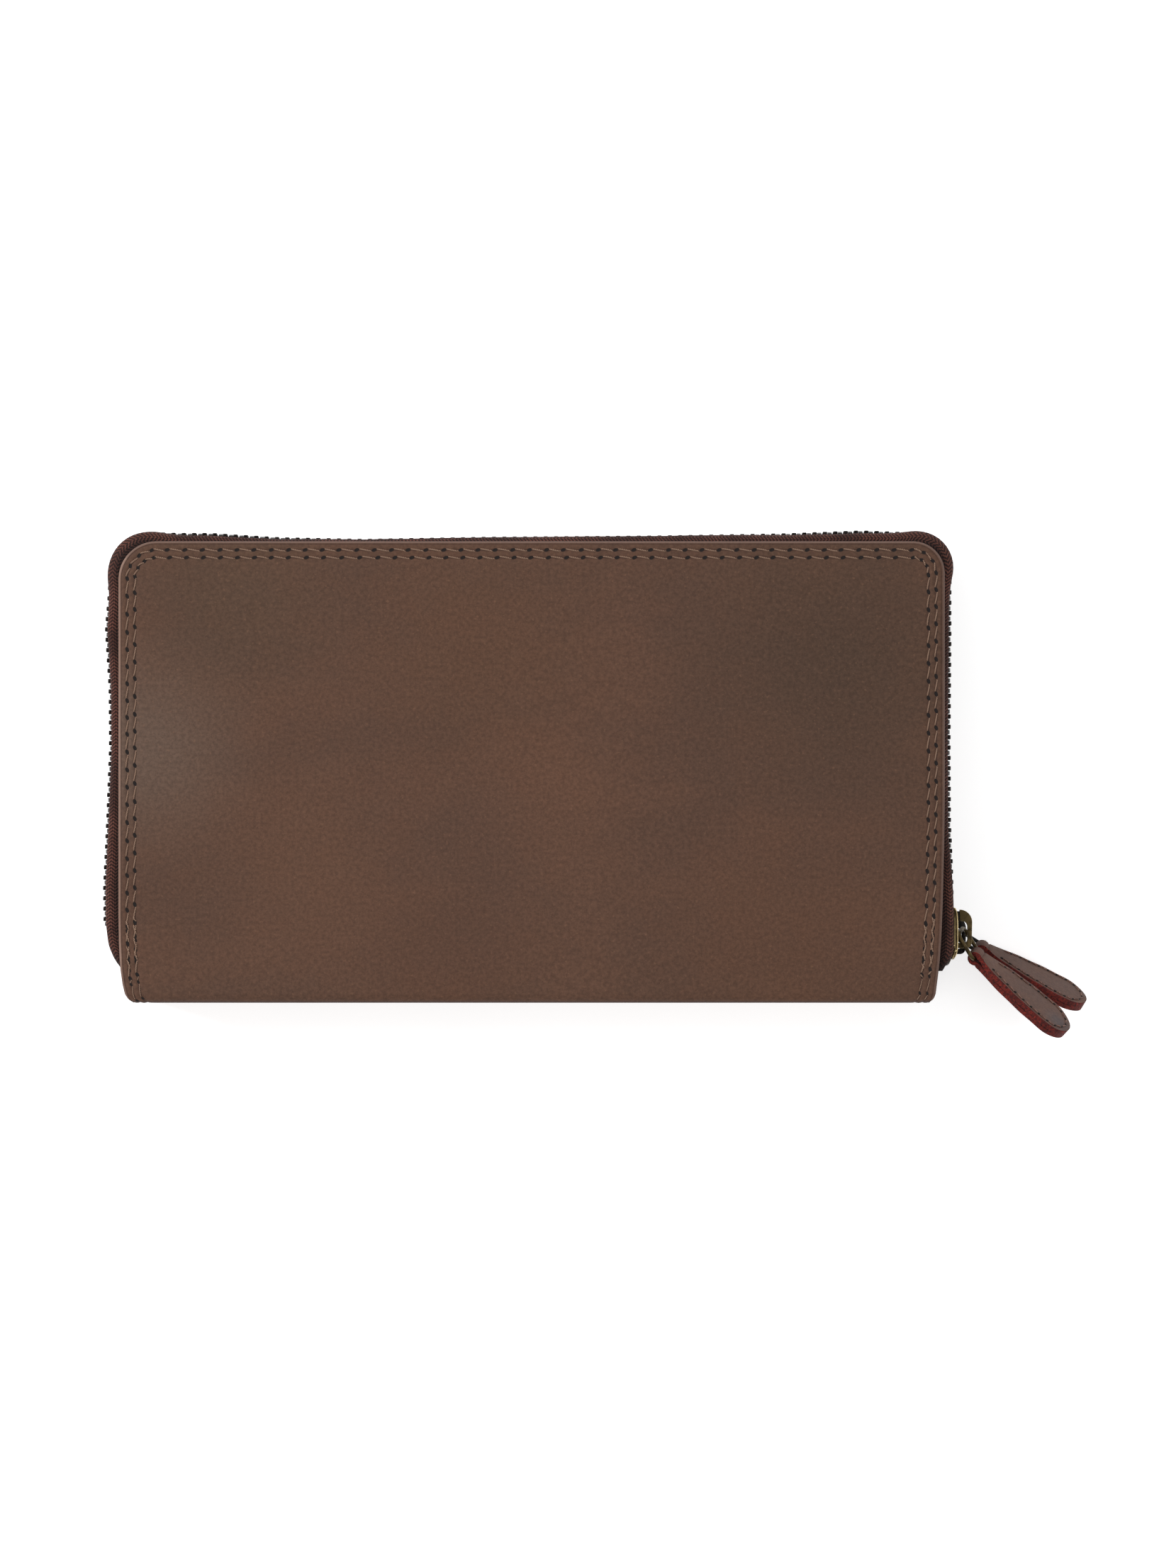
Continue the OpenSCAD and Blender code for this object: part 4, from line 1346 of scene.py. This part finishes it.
def slip_pocket(name, node, side):
    """A banknote pocket on the divider, hemmed along the top and sewn round three sides."""
    low, high = mm_box(node)
    mesh, sewing = Mesh(), Mesh()
    soft_sheet(mesh, *mm_ranges(node), hem=side)
    face = high.z + 0.02 if side > 0 else low.z - 0.02
    hem = face + side * 0.3
    sew(sewing, (low.x + 2.5, high.y - 3.9, hem), (high.x - 2.5, high.y - 3.9, hem), side)
    for x in (low.x + 1.6, high.x - 1.6):
        sew(sewing, (x, low.y + 1, face), (x, high.y - 5, face), side)
    sewn_pocket(name, mesh, sewing, "divider", node)


def edge_strip():
    """The leather band between the two zips, with a rounded, dyed outer edge."""
    low, high = mm_box("divider_edge_strip")
    middle, half = (low.z + high.z) / 2, (high.z - low.z) / 2
    profile = [(-8.9, -half), (-4, -half), (-0.4, -half)]
    round_edge = np.linspace(0.35, math.pi - 0.35, 9)
    profile += [(-0.35 + 0.8 * math.sin(a), -half * math.cos(a)) for a in round_edge]
    profile += [(-0.4, half), (-4, half), (-8.9, half)]
    edge = Edge(low=low.y)
    points, count = [], len(profile)
    steps = round(edge.length / 1.5)
    for k in range(steps + 1):
        p, out = edge.at(edge.length * k / steps)
        inset = 0.8 + 1.15 * taper(p.x, p.y)
        points += [Vector((*(p + out * (n - inset)), middle + h)) for n, h in profile]
    mesh = Mesh()
    mesh.add(points, grid_faces(steps + 1, count, True) + end_faces(len(points), count))
    rigid_piece(
        "divider_edge_leather", mesh, (LEATHER_EDGE,), "outer_leather", "divider",
        ("divider_edge_strip",),
    )


def gusset(name, node, side, bodies):
    """A side gusset, folded inwards between two sheets. It goes to hinged_piece and stays in place."""
    low, high = mm_box(node)
    z0, z1, leg, crease = low.z, high.z, 90.6, 78.4
    low_y = mm_box("spine_lining")[1].y + 0.25
    middle = (z0 + z1) / 2
    half = [(leg, z0), (leg, z0 + 1.2), (leg - 0.3, z0 + 2.2), (leg - 1.6, z0 + 2.8)]
    half += [
        (leg - 1.6 + (crease + 1.6 - leg) * t, z0 + 2.8 + (middle - 0.25 - z0 - 2.8) * t)
        for t in (0.25, 0.5, 0.75, 1)
    ]
    line = half + [(crease - 0.25, middle)] + [(x, 2 * middle - z) for x, z in reversed(half)]
    wide = len(line)
    outer, inner = [], []
    steps = 36
    for k in range(steps + 1):
        y = low_y + (high.y - low_y) * k / steps
        # Past the zip's tapes the gusset swells out and closes the gap beside the spine.
        swell = 2.9 * smooth((TAPE_LOW_Y - y) / 2.6)
        for i, (x, z) in enumerate(line):
            a, b = line[max(i - 1, 0)], line[min(i + 1, wide - 1)]
            way = Vector((b[0] - a[0], b[1] - a[1])).normalized()
            ripple = 0.25 * noise.noise(Vector((y / 9, z / 3, 2.0)))
            x += ripple + swell * (1 + 1.7 * (leg - x) / (leg - crease))
            outer.append((side * (x + way.y * 0.2), y, z - way.x * 0.2))
            inner.append((side * (x - way.y * 0.2), y, z + way.x * 0.2))
    mesh = Mesh()
    shell(mesh, outer, inner, grid_faces(steps + 1, wide))
    hinged_piece(
        name, mesh, (INNER_LEATHER,) * 3, "inner_leather", bodies,
        (0, 0, z0 + 0.2), (0, 0, z1 - 0.2), (node,),
    )


def coin_zip():
    """The coin pocket's small zip, in the slot of the divider's rear panel."""
    for end in ("top", "bottom"):
        mesh = Mesh()
        soft_sheet(mesh, *mm_ranges(f"coin_tape_{end}"), step=2.0)
        strips = [(p[0], p[1], 0) for p in mesh.points]
        rigid_piece(
            f"coin_zip_tape_{end}", mesh, (TAPE,) * 3, "zip_tape", "divider", (f"coin_tape_{end}",),
            strips=strips,
        )
    scale, y, z = 0.72, 38.0, 15.7
    pitch, half_tooth = scale * TOOTH_PITCH, 0.36
    outline = [(-0.6, -0.5), (-0.45, -0.7), (1.45, -0.7), (1.45, 0.7), (-0.45, 0.7), (-0.6, 0.5)]
    for end, way in (("top", 1), ("bottom", -1)):
        node = f"coin_teeth_{end}"
        low, high = mm_box(node)
        axes = ((0, way, 0), (0, 0, 1), (1, 0, 0))
        points, faces, kinds = bevelled([(outline, -half_tooth, half_tooth, axes)], 0.13)
        mesh = Mesh()
        for i in range(round((high.x - low.x) / pitch) + 1):
            place = Matrix.Translation((low.x + half_tooth + i * pitch, y, z))
            mesh.add(moved(points, place), faces, kinds)
        rigid_piece(f"coin_zip_teeth_{end}", mesh, (TEETH, TEETH), "zip_teeth", "divider", (node,))
    place = Matrix.Translation((joint_place("coin_pull_swing").x, y, z))
    place = place @ Matrix.Rotation(math.pi, 4, "Z") @ Matrix.Scale(scale, 4)
    zip_slider("coin_zip_slider", place, "coin_slider", BRASS, HIGHLIGHT_BRASS, sharp=40.0)


INNER_THREAD = thread_finish("inner_thread", srgb(70, 50, 40), srgb(112, 86, 70))
lining("rear_cover_lining", "rear_lining", "rear_cover", 1.2)
lining("front_cover_lining", "front_lining", "front_cover", 1.2)
card_pockets("rear_cover_card_pockets", "rear_card_pockets", "rear_cover", -1)
card_pockets("front_cover_card_pockets", "front_card_pockets", "front_cover", 1)
slip_pocket("rear_banknote_pocket", "divider_rear_pocket", 1)
slip_pocket("front_banknote_pocket", "divider_front_pocket", -1)

COIN_SLOT = ((-70.0, 70.0), (34.5, 41.5))
for panel, opening in (("divider_front_panel", None), ("divider_rear_panel", COIN_SLOT)):
    lining(panel + "_cloth", panel, "divider", 1.6, opening)

coin_seam = Mesh()
seam_z = mm_box("divider_rear_panel")[1].z + 0.02
seam_x, seam_y = ((low - 1.4, high + 1.4) for low, high in COIN_SLOT)
for y in seam_y:
    sew(coin_seam, (seam_x[0], y, seam_z), (seam_x[1], y, seam_z), 1)
for x in seam_x:
    sew(coin_seam, (x, seam_y[0], seam_z), (x, seam_y[1], seam_z), 1)
rigid_piece("coin_zip_seam", coin_seam, (INNER_THREAD, HOLE_SHADE), "lining", "divider")

spine_x, spine_y, spine_z = mm_ranges("spine_lining")
spine_mesh = Mesh()
soft_sheet(spine_mesh, spine_x, spine_z, spine_y)
spine_mesh.points = [(x, z, y) for x, y, z in spine_mesh.points]
rigid_piece(
    "spine_lining_cloth", spine_mesh, (LINING,) * 3, "lining", "divider", ("spine_lining",)
)

edge_strip()
for hand, side in (("left", -1), ("right", 1)):
    gusset(f"lower_side_gusset_{hand}", f"lower_gusset_{hand}", side, ("front_cover", "divider"))
    gusset(f"upper_side_gusset_{hand}", f"upper_gusset_{hand}", side, ("divider", "rear_cover"))
coin_zip()

# The boards and the coin pull keep their CAD shapes.
for node, material in (("front_board", BOARD), ("rear_board", BOARD), ("coin_pull", CAST_BRASS)):
    kept = frame["nodes"][node]
    kept.data.materials.clear()
    kept.data.materials.append(material)
softened = frame["nodes"]["coin_pull"].modifiers.new("rounded", "BEVEL")
softened.width = 0.2 * MM
softened.segments = 3


# ---- floor, light and camera --------------------------------------------------------------------

def add_floor():
    half = 5.0
    corners = [(-half, -half, 0), (half, -half, 0), (half, half, 0), (-half, half, 0)]
    data = bpy.data.meshes.new("floor")
    data.from_pydata(corners, [], [(0, 1, 2, 3)])
    paper = Finish("floor_paper", roughness=0.9, cad=True)
    paper.colour(paper.mix(paper.noise(30, detail=2), srgb(246, 246, 246), srgb(250, 250, 250)))
    paper.shader.inputs["Emission Color"].default_value = (1, 1, 1, 1)
    paper.shader.inputs["Emission Strength"].default_value = 0.6
    data.materials.append(paper.material)
    floor = bpy.data.objects.new("floor", data)
    bpy.context.scene.collection.objects.link(floor)
    floor.location.z = -0.0004


def add_light(name, place, size, power, target=(0, 0, 0.014)):
    data = bpy.data.lights.new(name, "AREA")
    data.shape = "SQUARE"
    data.size = size
    data.energy = power
    light = bpy.data.objects.new(name, data)
    light.location = place
    light.rotation_euler = (Vector(target) - Vector(place)).to_track_quat("-Z", "Y").to_euler()
    bpy.context.scene.collection.objects.link(light)


def add_camera():
    """Straight above the rear cover, with the spine at the bottom of the picture."""
    data = bpy.data.cameras.new("camera")
    data.sensor_fit = "VERTICAL"
    data.sensor_height = 36
    distance, seen_height = 1.1, 0.3698
    data.lens = data.sensor_height * distance / seen_height
    camera = bpy.data.objects.new("camera", data)
    camera.location = (0.0133, -0.0028, WALLET_T * MM + distance)
    bpy.context.scene.collection.objects.link(camera)
    bpy.context.scene.camera = camera


def add_world():
    world = bpy.data.worlds.new("studio")
    world.use_nodes = True
    background = world.node_tree.nodes["Background"]
    background.inputs["Color"].default_value = (1, 1, 1, 1)
    background.inputs["Strength"].default_value = 0.5
    bpy.context.scene.world = world


add_floor()
add_camera()
add_world()
add_light("key", (-0.9, 0.45, 0.9), 0.5, 10.6)
add_light("fill", (0.7, -0.3, 1.0), 0.8, 1.6)
bpy.context.scene.view_settings.view_transform = "Standard"
